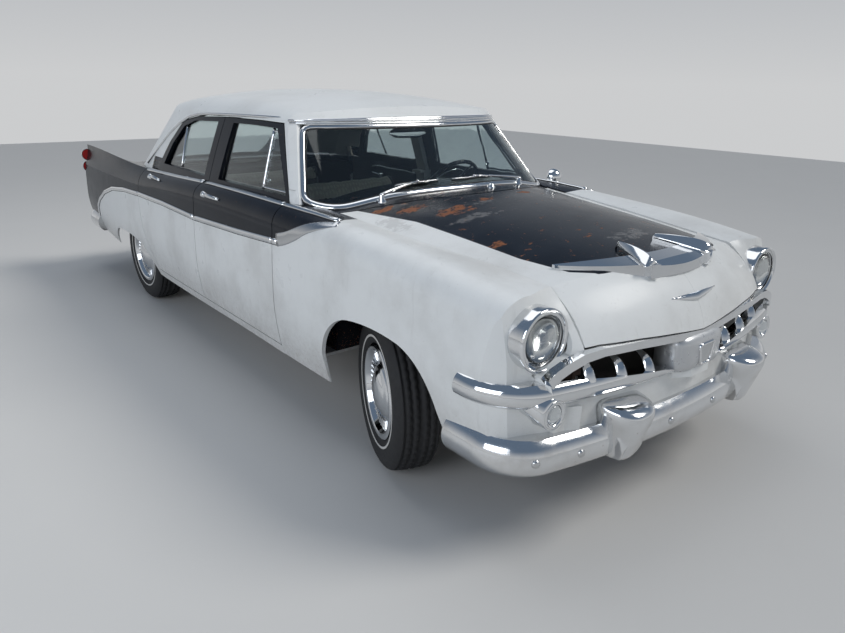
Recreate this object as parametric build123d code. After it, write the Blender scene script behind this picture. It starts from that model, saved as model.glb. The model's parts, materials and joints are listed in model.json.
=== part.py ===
from build123d import *
import math
import os

# A 1950s four-door saloon, full size, in millimetres.
# +Z is up, the nose points to -Y and the car's left side is +X.
# The origin is on the ground, under the middle of the car's length and width.

# Driving dimensions
WHEELBASE = 3048.0
AXLE_FRONT_Y = -1727.0
AXLE_REAR_Y = AXLE_FRONT_Y + WHEELBASE
TRACK_HALF = 749.0
TYRE_RADIUS = 345.0
TYRE_WIDTH = 196.0
RIM_RADIUS = 205.0
RIM_WIDTH = 160.0
KINGPIN_X = 672.0
PARKED_STEER_DEG = 20.0
PANEL_GAP = 6.0
SKIN = 22.0
INNER_REACH = 80.0
ROOF_SKIN = 34.0
GLASS_INSET = 12.0
GLASS_THICKNESS = 6.0

# Shut lines, along Y
COWL_Y = -1235.0
DOOR_A_Y = -960.0
DOOR_B_Y = 0.0
DOOR_C_Y = 1000.0
DOOR_SILL_Z = 352.0
DOOR_INNER_X = 800.0
FLOOR_Z = 345.0
GREENHOUSE_BASE_Z = 1000.0

# Outer side of the body, one row per cross-section.
# Columns: y, bottom x and z, widest x and z, shoulder x and z, crown x and z, bulge of the
# shoulder-to-crown arc, bulge of the crown-to-seam arc
SIDE_TABLE = [
    (-2640, 850, 400, 885, 620, 868, 840, 745, 930, 34, 5),
    (-2400, 858, 390, 896, 620, 880, 860, 752, 955, 34, 5),
    (-2100, 876, 330, 918, 620, 905, 890, 778, 992, 32, 6),
    (-1750, 885, 300, 928, 620, 916, 912, 800, 1018, 30, 6),
    (-1300, 890, 300, 932, 620, 920, 930, 828, 1040, 28, 4),
    (-900, 890, 300, 934, 620, 922, 936, 848, 1044, 24, 2),
    (-100, 890, 300, 936, 620, 924, 930, 850, 1036, 24, 2),
    (700, 888, 300, 934, 620, 922, 905, 848, 1008, 20, 2),
    (1300, 880, 320, 928, 620, 916, 890, 852, 1010, 6, -8),
    (1900, 865, 350, 915, 620, 905, 885, 850, 1032, -6, -22),
    (2500, 845, 420, 892, 640, 882, 885, 846, 1042, -10, -26),
]

# Side profiles of the bonnet, one row per slice across the car.
# Columns: x, z at the rear, z of the middle, y and z where the nose turns down, y and z half
# way down the nose, y and z of the lip
BONNET_REAR_Y = -880.0
BONNET_MID_Y = -1700.0
BONNET_FLOOR_Z = 560.0
BONNET_TABLE = [
    (0, 1110, 1062, -2440, 985, -2566, 890, -2640, 745),
    (280, 1105, 1054, -2430, 978, -2552, 884, -2624, 745),
    (480, 1088, 1032, -2400, 960, -2518, 872, -2592, 745),
    (620, 1064, 1004, -2366, 936, -2474, 858, -2548, 746),
    (740, 1046, 984, -2330, 912, -2424, 842, -2490, 747),
]

# Boot deck side profiles: x, z at the front, z of the middle, y and z where the tail turns
# down, y and z half way down the tail, y and z at the tail's foot
DECK_FRONT_Y = 1300.0
DECK_MID_Y = 1900.0
DECK_FLOOR_Z = 470.0
DECK_TABLE = [
    (0, 1012, 968, 2340, 890, 2462, 780, 2512, 480),
    (300, 1008, 962, 2334, 884, 2456, 776, 2508, 480),
    (560, 996, 950, 2318, 874, 2446, 768, 2500, 480),
    (760, 982, 936, 2300, 862, 2436, 758, 2490, 480),
]

# Front faces of the wings around the headlamps: x, y at the top, y at the middle, y at the
# grille lip, y at the foot
WING_FACE_Z = (960.0, 852.0, 745.0, 200.0)
WING_FACE_TABLE = [
    (540, -2340, -2500, -2574, -2560),
    (640, -2384, -2474, -2534, -2534),
    (760, -2424, -2444, -2462, -2490),
    (870, -2404, -2418, -2428, -2440),
    (960, -2290, -2292, -2298, -2310),
]

# Roof and side glass, one row per cross-section: y, x at the belt, x and z at the drip rail,
# x and z where the roof turns flat, z of the middle
ROOF_TABLE = [
    (-1450, 836, 672, 1390, 560, 1380, 1405),
    (-900, 836, 688, 1406, 575, 1430, 1462),
    (-500, 836, 694, 1410, 585, 1478, 1524),
    (0, 836, 696, 1410, 590, 1490, 1541),
    (450, 832, 692, 1402, 585, 1482, 1532),
    (900, 822, 680, 1380, 565, 1436, 1478),
    (1650, 795, 640, 1290, 520, 1300, 1330),
]

# Plan outlines of the windscreen and rear window at two heights. Columns: z, then x and y of
# the points across one half, from the middle outwards
SCREEN_LOW_Z = 1040.0
SCREEN_HIGH_Z = 1420.0
SCREEN_REACH_Z = 140.0
SCREEN_FRONT_LOW = ((0, -1335), (560, -1235), (748, -1120), (832, -960))
SCREEN_FRONT_HIGH = ((0, -905), (480, -850), (620, -790), (692, -717))
SCREEN_REAR_LOW = ((0, 1525), (500, 1465), (700, 1345), (790, 1110))
SCREEN_REAR_HIGH = ((0, 1035), (480, 985), (620, 905), (672, 780))


def arc(a, m, b):
    return Edge.make_three_point_arc(Vector(*a), Vector(*m), Vector(*b))


def line(a, b):
    return Edge.make_line(Vector(*a), Vector(*b))


def bulged(a, b, bulge):
    """The middle point of an arc from a to b in the XZ plane, standing out to the left of a-b."""
    dx, dz = b[0] - a[0], b[1] - a[1]
    length = math.hypot(dx, dz)
    return (
        (a[0] + b[0]) / 2 + dz / length * bulge,
        (a[1] + b[1]) / 2 - dx / length * bulge,
    )


def mirror_x(shape):
    return shape.mirror(Plane.YZ)


def circle_z(y, p0, p1, p2):
    """The z at y of the arc through three points in the YZ plane."""
    (y0, z0), (y1, z1), (y2, z2) = p0, p1, p2
    d = 2 * (y0 * (z1 - z2) + y1 * (z2 - z0) + y2 * (z0 - z1))
    s0, s1, s2 = y0 * y0 + z0 * z0, y1 * y1 + z1 * z1, y2 * y2 + z2 * z2
    cy = (s0 * (z1 - z2) + s1 * (z2 - z0) + s2 * (z0 - z1)) / d
    cz = (s0 * (y2 - y1) + s1 * (y0 - y2) + s2 * (y1 - y0)) / d
    r = math.hypot(y0 - cy, z0 - cz)
    rise = math.sqrt(max(r * r - (y - cy) ** 2, 0))
    return cz + rise if z1 > cz else cz - rise


def between(table, x, columns):
    """Values of a table's columns at x, in proportion between its rows."""
    for low, high in zip(table, table[1:]):
        if x <= high[0]:
            t = (x - low[0]) / (high[0] - low[0])
            return [low[c] + t * (high[c] - low[c]) for c in columns]
    return [table[-1][c] for c in columns]


def seam_x(y):
    """Half width of the bonnet, then of the cabin, then of the boot lid, along Y."""
    line_points = [
        (-2700, 596),
        (-2330, 602),
        (-2100, 620),
        (-1750, 678),
        (-1235, 716),
        (-960, 790),
        (800, 790),
        (1000, 775),
        (1300, 690),
        (1700, 640),
        (2520, 618),
    ]
    for (y0, x0), (y1, x1) in zip(line_points, line_points[1:]):
        if y <= y1:
            return x0 + (x1 - x0) * (y - y0) / (y1 - y0)
    return line_points[-1][1]


def top_z(x, y):
    """Height of the bonnet or deck at a place, from the same arcs that they are lofted with."""
    if y < COWL_Y + 60:
        zr, zm, yt, zt = between(BONNET_TABLE, x, (1, 2, 3, 4))
        return circle_z(max(y, yt), (BONNET_REAR_Y, zr), (BONNET_MID_Y, zm), (yt, zt))
    if y > DECK_FRONT_Y - 60:
        zf, zm, yt, zt = between(DECK_TABLE, x, (1, 2, 3, 4))
        return circle_z(min(y, yt), (DECK_FRONT_Y, zf), (DECK_MID_Y, zm), (yt, zt))
    return None


def side_wire(row, inset):
    y, xb, zb, xw, zw, xs, zs, xc, zc, crown_bulge, seam_bulge = row
    inner = DOOR_INNER_X if -1000 <= y <= 800 else seam_x(y) - 14
    seam_z = top_z(inner, y) or zc + 6
    if inset:
        xb, xw, xs, xc = xb - inset, xw - inset, xs - inset, xc - inset * 0.6
        zs, zc, seam_z = zs - inset * 0.4, zc - inset, seam_z - inset
        zb -= INNER_REACH
    bottom, wide, shoulder, crown = (xb, zb), (xw, zw), (xs, zs), (xc, zc)
    seam = (inner, seam_z)
    ledge = (inner - INNER_REACH, seam_z) if inset else seam
    lower = (xw - (xw - xb) * 0.25, (zb + zw) / 2)
    upper = (xw - (xw - xs) * 0.25, (zw + zs) / 2)
    turn = bulged(shoulder, crown, crown_bulge)
    top = bulged(crown, seam, seam_bulge)

    def at(p):
        return (p[0], y, p[1])

    foot = (ledge[0], y, zb)
    edges = [
        line(foot, at(bottom)),
        arc(at(bottom), at(lower), at(wide)),
        arc(at(wide), at(upper), at(shoulder)),
        arc(at(shoulder), at(turn), at(crown)),
        arc(at(crown), at(top), at(seam)),
    ]
    if inset:
        edges.append(line(at(seam), at(ledge)))
    edges.append(line(at(ledge), foot))
    return Wire(edges)


def side_form(inset=0.0):
    """The left side of the body, from the nose to the tail, as one solid."""
    return Solid.make_loft([side_wire(row, inset) for row in SIDE_TABLE])


def profile_loft(rows, start_y, floor_z, inset=0.0, mirrored=True):
    """A bonnet or deck form lofted across the car from side profiles."""
    back = 1 if start_y < 0 else -1
    wires = []
    table = [r for r in rows]
    if mirrored:
        table = [(-r[0], *r[1:]) for r in reversed(rows[1:])] + table
    for x, zs, zm, yt, zt, yn, zn, yl, zl in table:
        mid_y = BONNET_MID_Y if start_y < 0 else DECK_MID_Y
        zs, zm, zt = zs - inset, zm - inset, zt - inset
        yt, yn, yl = (v + back * inset for v in (yt, yn, yl))
        zn -= inset * 0.5
        y0 = start_y + back * 60 if inset else start_y
        z0 = floor_z - 60 if inset else floor_z
        wires.append(
            Wire(
                [
                    line((x, y0, z0), (x, y0, zs)),
                    arc((x, y0, zs), (x, mid_y, zm), (x, yt, zt)),
                    arc((x, yt, zt), (x, yn, zn), (x, yl, zl)),
                    line((x, yl, zl), (x, yl, z0)),
                    line((x, yl, z0), (x, y0, z0)),
                ]
            )
        )
    return Solid.make_loft(wires)


def wing_face_form():
    """What lies behind the front faces of the wings, on the left."""
    zu, zn, zl, zb = WING_FACE_Z
    back_y, roof_z = 2700.0, 1200.0
    wires = []
    for x, yu, yn, yl, yb in WING_FACE_TABLE:
        wires.append(
            Wire(
                [
                    line((x, back_y, zb), (x, back_y, roof_z)),
                    line((x, back_y, roof_z), (x, yu, roof_z)),
                    line((x, yu, roof_z), (x, yu, zu)),
                    arc((x, yu, zu), (x, yn, zn), (x, yl, zl)),
                    line((x, yl, zl), (x, yb, zb)),
                    line((x, yb, zb), (x, back_y, zb)),
                ]
            )
        )
    return Solid.make_loft(wires)


def roof_wire(row, inset):
    y, xb, xr, zr, xt, zt, zc = row
    base_z = GREENHOUSE_BASE_Z - (40 if inset else 0)
    xb, xr, xt = xb - inset, xr - inset, xt - inset * 0.6
    zr, zt, zc = zr - inset * 0.3, zt - inset, zc - inset
    side_mid = ((xb + xr) / 2 + 5, (base_z + zr) / 2)
    side, rail, turn = (xb, base_z), (xr, zr), (xt, zt)
    corner = bulged(rail, turn, 14 if zt > zr + 10 else 6)

    def at(p, sign=1):
        return (sign * p[0], y, p[1])

    return Wire(
        [
            line(at(side, -1), at(side)),
            arc(at(side), at(side_mid), at(rail)),
            arc(at(rail), at(corner), at(turn)),
            arc(at(turn), (0, y, zc), at(turn, -1)),
            arc(at(turn, -1), at(corner, -1), at(rail, -1)),
            arc(at(rail, -1), at(side_mid, -1), at(side, -1)),
        ]
    )


def roof_form(inset=0.0):
    return Solid.make_loft([roof_wire(row, inset) for row in ROOF_TABLE])


def screen_wire(z, inset):
    """Plan outline of the cabin at one height, by its windscreen and its rear window."""
    t = (z - SCREEN_LOW_Z) / (SCREEN_HIGH_Z - SCREEN_LOW_Z)

    def at(low, high, sign):
        x, y = (a + (b - a) * t for a, b in zip(low, high))
        return (max(x - inset * 0.7, 0), y + sign * inset, z)

    front = [at(a, b, 1) for a, b in zip(SCREEN_FRONT_LOW, SCREEN_FRONT_HIGH)]
    rear = [at(a, b, -1) for a, b in zip(SCREEN_REAR_LOW, SCREEN_REAR_HIGH)]
    far_front = (1000.0, front[3][1] + 300, z)
    far_rear = (1000.0, rear[3][1] - 200, z)

    def left(p):
        return (-p[0], p[1], p[2])

    return Wire(
        [
            arc(left(front[1]), front[0], front[1]),
            arc(front[1], front[2], front[3]),
            line(front[3], far_front),
            line(far_front, far_rear),
            line(far_rear, rear[3]),
            arc(rear[3], rear[2], rear[1]),
            arc(rear[1], rear[0], left(rear[1])),
            arc(left(rear[1]), left(rear[2]), left(rear[3])),
            line(left(rear[3]), left(far_rear)),
            line(left(far_rear), left(far_front)),
            line(left(far_front), left(front[3])),
            arc(left(front[3]), left(front[2]), left(front[1])),
        ]
    )


def screen_form(inset=0.0):
    low, high = SCREEN_LOW_Z - 80, SCREEN_HIGH_Z + SCREEN_REACH_Z
    return Solid.make_loft([screen_wire(low, inset), screen_wire(high, inset)], True)


def cabin_form(inset=0.0):
    return roof_form(inset) & screen_form(inset)


def box(x0, x1, y0, y1, z0, z1):
    size = Box(x1 - x0, y1 - y0, z1 - z0)
    return size.moved(Location(((x0 + x1) / 2, (y0 + y1) / 2, (z0 + z1) / 2)))


def prism_x(points, x0, x1):
    """A polygon in the YZ plane, drawn out along X."""
    wire = Wire([line((x0, *a), (x0, *b)) for a, b in zip(points, points[1:] + points[:1])])
    return Solid.extrude(Face(wire), Vector(x1 - x0, 0, 0))


def prism_z(points, z0, z1):
    """A polygon in the XY plane, drawn out along Z."""
    wire = Wire([line((*a, z0), (*b, z0)) for a, b in zip(points, points[1:] + points[:1])])
    return Solid.extrude(Face(wire), Vector(0, 0, z1 - z0))


def prism_y(points, y0, y1):
    """A polygon in the XZ plane, drawn out along Y."""
    wire = Wire(
        [
            line((a[0], y0, a[1]), (b[0], y0, b[1]))
            for a, b in zip(points, points[1:] + points[:1])
        ]
    )
    return Solid.extrude(Face(wire), Vector(0, y1 - y0, 0))


def rod(a, b, radius):
    """A round bar between two points."""
    start, end = Vector(*a), Vector(*b)
    along = end - start
    plane = Plane(origin=start, z_dir=along)
    return Solid.make_cylinder(radius, along.length, plane)


def both(shape):
    """A left-hand shape and its right-hand twin."""
    return Compound([*shape.solids(), *mirror_x(shape).solids()])


def grown(points, gap):
    """A polygon with every edge moved outwards by the gap."""
    area = sum(a[0] * b[1] - b[0] * a[1] for a, b in zip(points, points[1:] + points[:1]))
    turn = 1 if area > 0 else -1
    count = len(points)
    result = []
    for i in range(count):
        p, q, r = points[i - 1], points[i], points[(i + 1) % count]
        u = (q[0] - p[0], q[1] - p[1])
        v = (r[0] - q[0], r[1] - q[1])
        lu, lv = math.hypot(*u), math.hypot(*v)
        nu = (u[1] / lu * turn, -u[0] / lu * turn)
        nv = (v[1] / lv * turn, -v[0] / lv * turn)
        scale = gap / (1 + nu[0] * nv[0] + nu[1] * nv[1])
        result.append((q[0] + (nu[0] + nv[0]) * scale, q[1] + (nu[1] + nv[1]) * scale))
    return result


SKIN_MAX_X = 936.0
DOOR_TOOL_X = (560.0, 980.0)


def door_tool(rows, gap=0.0):
    """A door's outline in side view as a solid whose rear edges draw forwards towards the
    inside. Rows: y, z, and the forward draw per millimetre of depth."""
    outline = grown([(r[0], r[1]) for r in rows], gap)
    wires = []
    for x in DOOR_TOOL_X:
        points = [
            (x, p[0] - r[2] * (SKIN_MAX_X - x), p[1]) for p, r in zip(outline, rows)
        ]
        wires.append(Wire([line(a, b) for a, b in zip(points, points[1:] + points[:1])]))
    return Solid.make_loft(wires, True)


# Doors in side view: y, z and the draw of that corner
HINGE_SETBACK = 10.0
HINGE_INBOARD = 4.0
SEAM_Y = PANEL_GAP / 2
FRONT_DOOR_LOWER = [
    (DOOR_A_Y + SEAM_Y, DOOR_SILL_Z, 0),
    (DOOR_A_Y + SEAM_Y, 1100, 0),
    (80, 1100, 0),
    (80, DOOR_SILL_Z, 0),
]
FRONT_DOOR_UPPER = [
    (DOOR_A_Y + SEAM_Y, 960, 0),
    (DOOR_A_Y + SEAM_Y, 1040, 0),
    (-703, 1390, 0),
    (-400, 1392, 0),
    (80, 1386, 0),
    (80, 960, 0),
]
REAR_DOOR_LOWER = [
    (-80, DOOR_SILL_Z, 0),
    (-80, 1080, 0),
    (DOOR_C_Y, 1080, 0.15),
    (DOOR_C_Y, 760, 0.15),
    (955, 610, 0.15),
    (868, 470, 0.15),
    (800, DOOR_SILL_Z, 0.15),
]
REAR_DOOR_UPPER = [
    (-80, 960, 0),
    (-80, 1387, 0),
    (59, 1386, 0),
    (402, 1374, 0.3),
    (660, 1334, 0.3),
    (800, 1190, 0.3),
    (890, 1040, 0.3),
    (890, 960, 0.3),
]
HINGE_X = SKIN_MAX_X - HINGE_INBOARD
FRONT_HINGE_Y = DOOR_A_Y + SEAM_Y + HINGE_SETBACK
REAR_HINGE_Y = DOOR_B_Y + SEAM_Y + HINGE_SETBACK
SEAM_RADIUS = DOOR_B_Y - FRONT_HINGE_Y

# Window openings in side view: y, z
FRONT_WINDOW = [(-905, 1072), (-655, 1366), (-400, 1368), (-150, 1364), (-125, 1060)]
REAR_WINDOW = [(70, 1058), (52, 1360), (402, 1347), (560, 1306), (690, 1190), (770, 1058)]
WINDSCREEN_SIDE = [(-1500, 960), (-1080, 960), (-1025, 1042), (-776, 1392), (-1500, 1392)]
REAR_SCREEN_SIDE = [(1500, 960), (1430, 1050), (1010, 1372), (1800, 1372), (1800, 960)]

# Wheel arches in side view
FRONT_ARCH = [
    ("line", (-2250, 200), (-2140, 500)),
    ("arc", (-2140, 500), (-2062, 606), (-1940, 668)),
    ("arc", (-1940, 668), (-1765, 682), (-1600, 668)),
    ("arc", (-1600, 668), (-1440, 577), (-1376, 440)),
    ("line", (-1376, 440), (-1408, 200)),
    ("line", (-1408, 200), (-2250, 200)),
]
REAR_ARCH = [
    ("line", (1800, 200), (1765, 395)),
    ("arc", (1765, 395), (1700, 460), (1570, 497)),
    ("arc", (1570, 497), (1335, 506), (1110, 484)),
    ("arc", (1110, 484), (960, 420), (838, 322)),
    ("line", (838, 322), (770, 200)),
    ("line", (770, 200), (1800, 200)),
]


def arch_tool(rows, x0=560.0, x1=1000.0):
    edges = []
    for kind, *points in rows:
        points = [(x0, *p) for p in points]
        edges.append(line(*points) if kind == "line" else arc(*points))
    return Solid.extrude(Face(Wire(edges)), Vector(x1 - x0, 0, 0))


# Plan outlines of the bonnet and the boot lid, one half: y and half width
BONNET_TAIL_Y = -1400.0
BONNET_CORNER_Y = -1200.0
BONNET_SWING = 6.0
LID_FRONT_Y = 1600.0
LID_HALF = 600.0
LID_FOOT_Z = 640.0
LID_LEAF_X = 340.0


def bonnet_plan(gap):
    """The bonnet's outline in plan, as a prism. Outside it, the gap is wider at the rear, where
    the edge swings back as it rises."""
    rear_gap = gap + BONNET_SWING if gap > 0 else gap
    z0, z1 = 560.0, 1300.0
    side = [(seam_x(y) - 3 + gap, y) for y in (-2700, -2330, -2100, -1750, -1235)]
    corner = (seam_x(BONNET_CORNER_Y) - 3 + gap, BONNET_CORNER_Y + rear_gap)
    tail = (0, BONNET_TAIL_Y + rear_gap)
    right = [(-x, y) for x, y in side]
    right_corner = (-corner[0], corner[1])
    edges = [line((*a, z0), (*b, z0)) for a, b in zip(side, side[1:])]
    edges.append(line((*side[-1], z0), (*corner, z0)))
    edges.append(arc((*corner, z0), (*tail, z0), (*right_corner, z0)))
    edges.append(line((*right_corner, z0), (*right[-1], z0)))
    edges += [line((*b, z0), (*a, z0)) for a, b in zip(right[-2::-1], right[:0:-1])]
    edges.append(line((*right[0], z0), (*side[0], z0)))
    return Solid.extrude(Face(Wire(edges)), Vector(0, 0, z1 - z0))


def lid_plan(gap):
    half, front = LID_HALF + gap, LID_FRONT_Y - gap
    return box(-half, half, front, 2700, LID_FOOT_Z - gap, 1300)


def u_corner(side_x, corner_r, corner_y, front_y):
    """Where a U-shaped plan line turns from its middle arc into its corner arc. The middle arc
    and the corners touch; front_y is the apex. Returns the turn's x and y."""
    sign = -1 if front_y < corner_y else 1
    a = side_x - corner_r
    d = (front_y - corner_y) * sign
    radius = (a * a + d * d - corner_r**2) / (2 * (d - corner_r))
    reach = radius / (radius - corner_r)
    centre_y = front_y - sign * radius
    return a * reach, centre_y + (corner_y - centre_y) * reach


def u_edges(side_x, corner_r, corner_y, front_y, end_y, z, inset=0.0):
    """The U-shaped line itself, from its right-hand end to its left-hand end."""
    sign = -1 if front_y < corner_y else 1
    side_x, corner_r, front_y = side_x - inset, corner_r - inset, front_y - sign * inset
    tx, ty = u_corner(side_x, corner_r, corner_y, front_y)
    cx = side_x - corner_r
    angle = math.atan2((ty - corner_y) * sign, tx - cx) / 2
    mx = cx + corner_r * math.cos(angle)
    my = corner_y + sign * corner_r * math.sin(angle)
    return [
        line((-side_x, end_y, z), (-side_x, corner_y, z)),
        arc((-side_x, corner_y, z), (-mx, my, z), (-tx, ty, z)),
        arc((-tx, ty, z), (0, front_y, z), (tx, ty, z)),
        arc((tx, ty, z), (mx, my, z), (side_x, corner_y, z)),
        line((side_x, corner_y, z), (side_x, end_y, z)),
    ]


def u_bar(plan, z, depth, height, lip=0.45):
    """A rounded bar along a U-shaped plan line: its face is on the line, its back inside it."""
    side_x, end_y = plan[0], plan[4]
    half = height / 2
    back, edge = -side_x + depth, -side_x + depth * lip

    def at(x, up):
        return (x, end_y, z + up)

    section = Wire(
        [
            line(at(back, -half), at(back, half)),
            line(at(back, half), at(edge, half)),
            arc(at(edge, half), at(-side_x, 0), at(edge, -half)),
            line(at(edge, -half), at(back, -half)),
        ]
    )
    return Solid.sweep(Face(section), Wire(u_edges(*plan, z)))


def u_band(plan, z0, z1, outer_inset, inner_inset):
    """A flat-sided band along a U-shaped plan line, between two insets."""
    outside = u_edges(*plan, z0, outer_inset)
    inside = u_edges(*plan, z0, inner_inset)
    end_y = plan[4]
    joins = [
        line((plan[0] - outer_inset, end_y, z0), (plan[0] - inner_inset, end_y, z0)),
        line((inner_inset - plan[0], end_y, z0), (outer_inset - plan[0], end_y, z0)),
    ]
    return Solid.extrude(Face(Wire(outside + inside + joins)), Vector(0, 0, z1 - z0))


def whole(shape):
    """A left-hand shape that starts on the middle plane, fused with its twin."""
    return shape + mirror_x(shape)


def revolved_x(points, arcs=()):
    """A ring about the X axis from a closed profile. Points: x, radius; arcs name the edges
    that bulge, by their first point's number, with their middle point."""
    edges = []
    count = len(points)
    middle = dict(arcs)
    for i in range(count):
        a, b = points[i], points[(i + 1) % count]
        a3, b3 = (a[0], 0, a[1]), (b[0], 0, b[1])
        if i in middle:
            m = middle[i]
            edges.append(arc(a3, (m[0], 0, m[1]), b3))
        else:
            edges.append(line(a3, b3))
    return Solid.revolve(Face(Wire(edges)), 360, Axis.X)


# Wheels, about the X axis with the outer side at +X
def tyre_form():
    half, rim = TYRE_WIDTH / 2, RIM_RADIUS
    r = TYRE_RADIUS
    points = [
        (-RIM_WIDTH / 2, rim),
        (-half, rim + 62),
        (-half + 26, r - 8),
        (half - 26, r - 8),
        (half, rim + 62),
        (RIM_WIDTH / 2, rim),
        (RIM_WIDTH / 2 - 26, rim - 12),
        (-RIM_WIDTH / 2 + 26, rim - 12),
    ]
    arcs = [
        (0, (-half + 4, rim + 26)),
        (1, (-half + 5, rim + 108)),
        (2, (0, r)),
        (3, (half - 5, rim + 108)),
        (4, (half - 4, rim + 26)),
    ]
    return revolved_x(points, arcs)


HUB_BORE = 26.0
HUB_FLOOR_X = 12.0
DRUM_RADIUS = 138.0
DRUM_BACK_X = -45.0
PIN_FIT = 0.08


def wheel_form():
    """A pressed steel wheel with a full cover, its hub bored from the inside."""
    w = RIM_WIDTH / 2
    rim = RIM_RADIUS
    points = [
        (-w, rim),
        (-w + 26, rim - 12),
        (w - 26, rim - 12),
        (w, rim),
        (w + 6, rim + 4),
        (w + 8, rim - 22),
        (w - 14, rim - 34),
        (w - 22, 120),
        (w - 8, 92),
        (w + 14, 60),
        (w + 24, 8),
        (w + 24, 0),
        (HUB_FLOOR_X, 0),
        (HUB_FLOOR_X, HUB_BORE),
        (DRUM_BACK_X, HUB_BORE),
        (DRUM_BACK_X, DRUM_RADIUS),
        (w - 52, DRUM_RADIUS),
        (w - 34, 150),
        (w - 34, rim - 26),
        (-w + 24, rim - 26),
        (-w + 2, rim - 12),
    ]
    arcs = [(4, (w + 12, rim - 9)), (9, (w + 22, 32))]
    return revolved_x(points, arcs)


def placed_wheel(shape, side, y, steered):
    """A wheel set at its hub. Side is 1 for the left and -1 for the right."""
    if side < 0:
        shape = mirror_x(shape)
    shape = shape.moved(Location((side * TRACK_HALF, y, TYRE_RADIUS)))
    if steered:
        shape = shape.rotate(Axis((side * KINGPIN_X, y, 0), (0, 0, 1)), -PARKED_STEER_DEG)
    return shape


NODES = {}


def keep(name, *shapes):
    solids = [s for shape in shapes for s in shape.solids()]
    NODES[name] = solids[0] if len(solids) == 1 else Compound(solids)


# The body's outer and inner forms
WING_CORNER = ((700, -2530), (862, -2420), (925, -2170))


def wing_corner_form():
    """What lies within the rounded front corner of the left wing, in plan."""
    a, m, b = ((*p, 100) for p in WING_CORNER)
    outline = [b, (1000, b[1], 100), (1000, 2700, 100), (0, 2700, 100), (0, -2800, 100)]
    outline += [(a[0], -2800, 100), a]
    edges = [arc(a, m, b)] + [line(p, q) for p, q in zip(outline, outline[1:])]
    return Solid.extrude(Face(Wire(edges)), Vector(0, 0, 1200))


side_solid = side_form()
face_solid = wing_face_form()
corner_solid = wing_corner_form()
outer = side_solid & face_solid & corner_solid
inner = side_form(SKIN) & face_solid.moved(Location((0, SKIN, 0)))
inner = inner & corner_solid.moved(Location((-SKIN * 0.7, SKIN * 0.7, 0)))
inner = inner & box(0, 1000, -2700, 2500 - SKIN, 0, 1300)
bonnet_solid = profile_loft(BONNET_TABLE, BONNET_REAR_Y, BONNET_FLOOR_Z)
bonnet_inner = profile_loft(BONNET_TABLE, BONNET_REAR_Y, BONNET_FLOOR_Z, SKIN)
deck_solid = profile_loft(DECK_TABLE, DECK_FRONT_Y, DECK_FLOOR_Z)
deck_inner = profile_loft(DECK_TABLE, DECK_FRONT_Y, DECK_FLOOR_Z, SKIN)
cabin = cabin_form()
cabin_inner = cabin_form(ROOF_SKIN)
shell = cabin - cabin_inner

front_arch = arch_tool(FRONT_ARCH)
rear_arch = arch_tool(REAR_ARCH)
door_slab = outer & box(DOOR_INNER_X, 1000, -1100, 1100, 200, 1100)
side_shell = outer - inner

# Doors
seam_front = Solid.make_cylinder(
    SEAM_RADIUS - SEAM_Y, 1400, Plane(origin=(HINGE_X, FRONT_HINGE_Y, 150))
)
seam_rear = Solid.make_cylinder(
    SEAM_RADIUS + SEAM_Y, 1400, Plane(origin=(HINGE_X, FRONT_HINGE_Y, 150))
)
front_lower = door_tool(FRONT_DOOR_LOWER) & seam_front
front_upper = door_tool(FRONT_DOOR_UPPER) & seam_front
rear_lower = door_tool(REAR_DOOR_LOWER) - seam_rear
rear_upper = door_tool(REAR_DOOR_UPPER) - seam_rear
front_window = prism_x(FRONT_WINDOW, 500, 1000)
rear_window = prism_x(REAR_WINDOW, 500, 1000)
door_band = shell & box(0, 1000, -1100, 1000, 985, 1500)
front_door = ((door_slab & front_lower) + (door_band & front_upper)) - front_window
rear_door = ((door_slab & rear_lower) + (door_band & rear_upper)) - rear_window
HINGE_LEAF_Z = ((470, 550), (820, 900))
LEAF_SEAT = 0.3
for z0, z1 in HINGE_LEAF_Z:
    front_leaf_y = DOOR_A_Y - SEAM_Y + LEAF_SEAT
    front_door = front_door + box(830, 890, front_leaf_y, DOOR_A_Y + SEAM_Y + 1, z0, z1)
    rear_leaf_x = DOOR_INNER_X - PANEL_GAP + LEAF_SEAT
    rear_door = rear_door + box(rear_leaf_x, DOOR_INNER_X + 20, 16, 42, z0, z1)
pane = cabin_form(GLASS_INSET) - cabin_form(GLASS_INSET + GLASS_THICKNESS)
front_glass = pane & front_window
rear_glass = pane & rear_window
openings = (
    door_tool(FRONT_DOOR_LOWER, PANEL_GAP)
    + door_tool(FRONT_DOOR_UPPER, PANEL_GAP)
    + door_tool(REAR_DOOR_LOWER, PANEL_GAP)
    + door_tool(REAR_DOOR_UPPER, PANEL_GAP)
)
for side, name in ((1, "left"), (-1, "right")):
    for door, glass, end in (
        (front_door, front_glass, "front"),
        (rear_door, rear_glass, "rear"),
    ):
        keep(f"{end}_{name}_door", door if side > 0 else mirror_x(door))
        keep(f"{end}_{name}_door_glass", glass if side > 0 else mirror_x(glass))

# Roof with its pillars
post_x = ROOF_SKIN + 12
post = (cabin_form(post_x) - cabin_form(post_x + 34)) & box(0, 1000, -45, 45, 985, 1500)
post_top = (cabin_form(ROOF_SKIN - 8) - cabin_form(post_x + 34)) & box(
    0, 1000, -45, 45, 1396, 1500
)
side_openings = openings + mirror_x(openings)
roof = shell - side_openings
roof = roof - prism_x(WINDSCREEN_SIDE, -1000, 1000)
roof = roof - prism_x(REAR_SCREEN_SIDE, -1000, 1000)
roof = roof - outer - mirror_x(outer) - bonnet_solid - deck_solid
post_foot = box(735, DOOR_INNER_X - PANEL_GAP, -45, 45, FLOOR_Z, 1000)
post_foot = post_foot + box(700, DOOR_INNER_X - PANEL_GAP, -45, 45, 985, 1000)
roof = roof + whole(post + post_top + post_foot)
keep("roof", roof)

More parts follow.
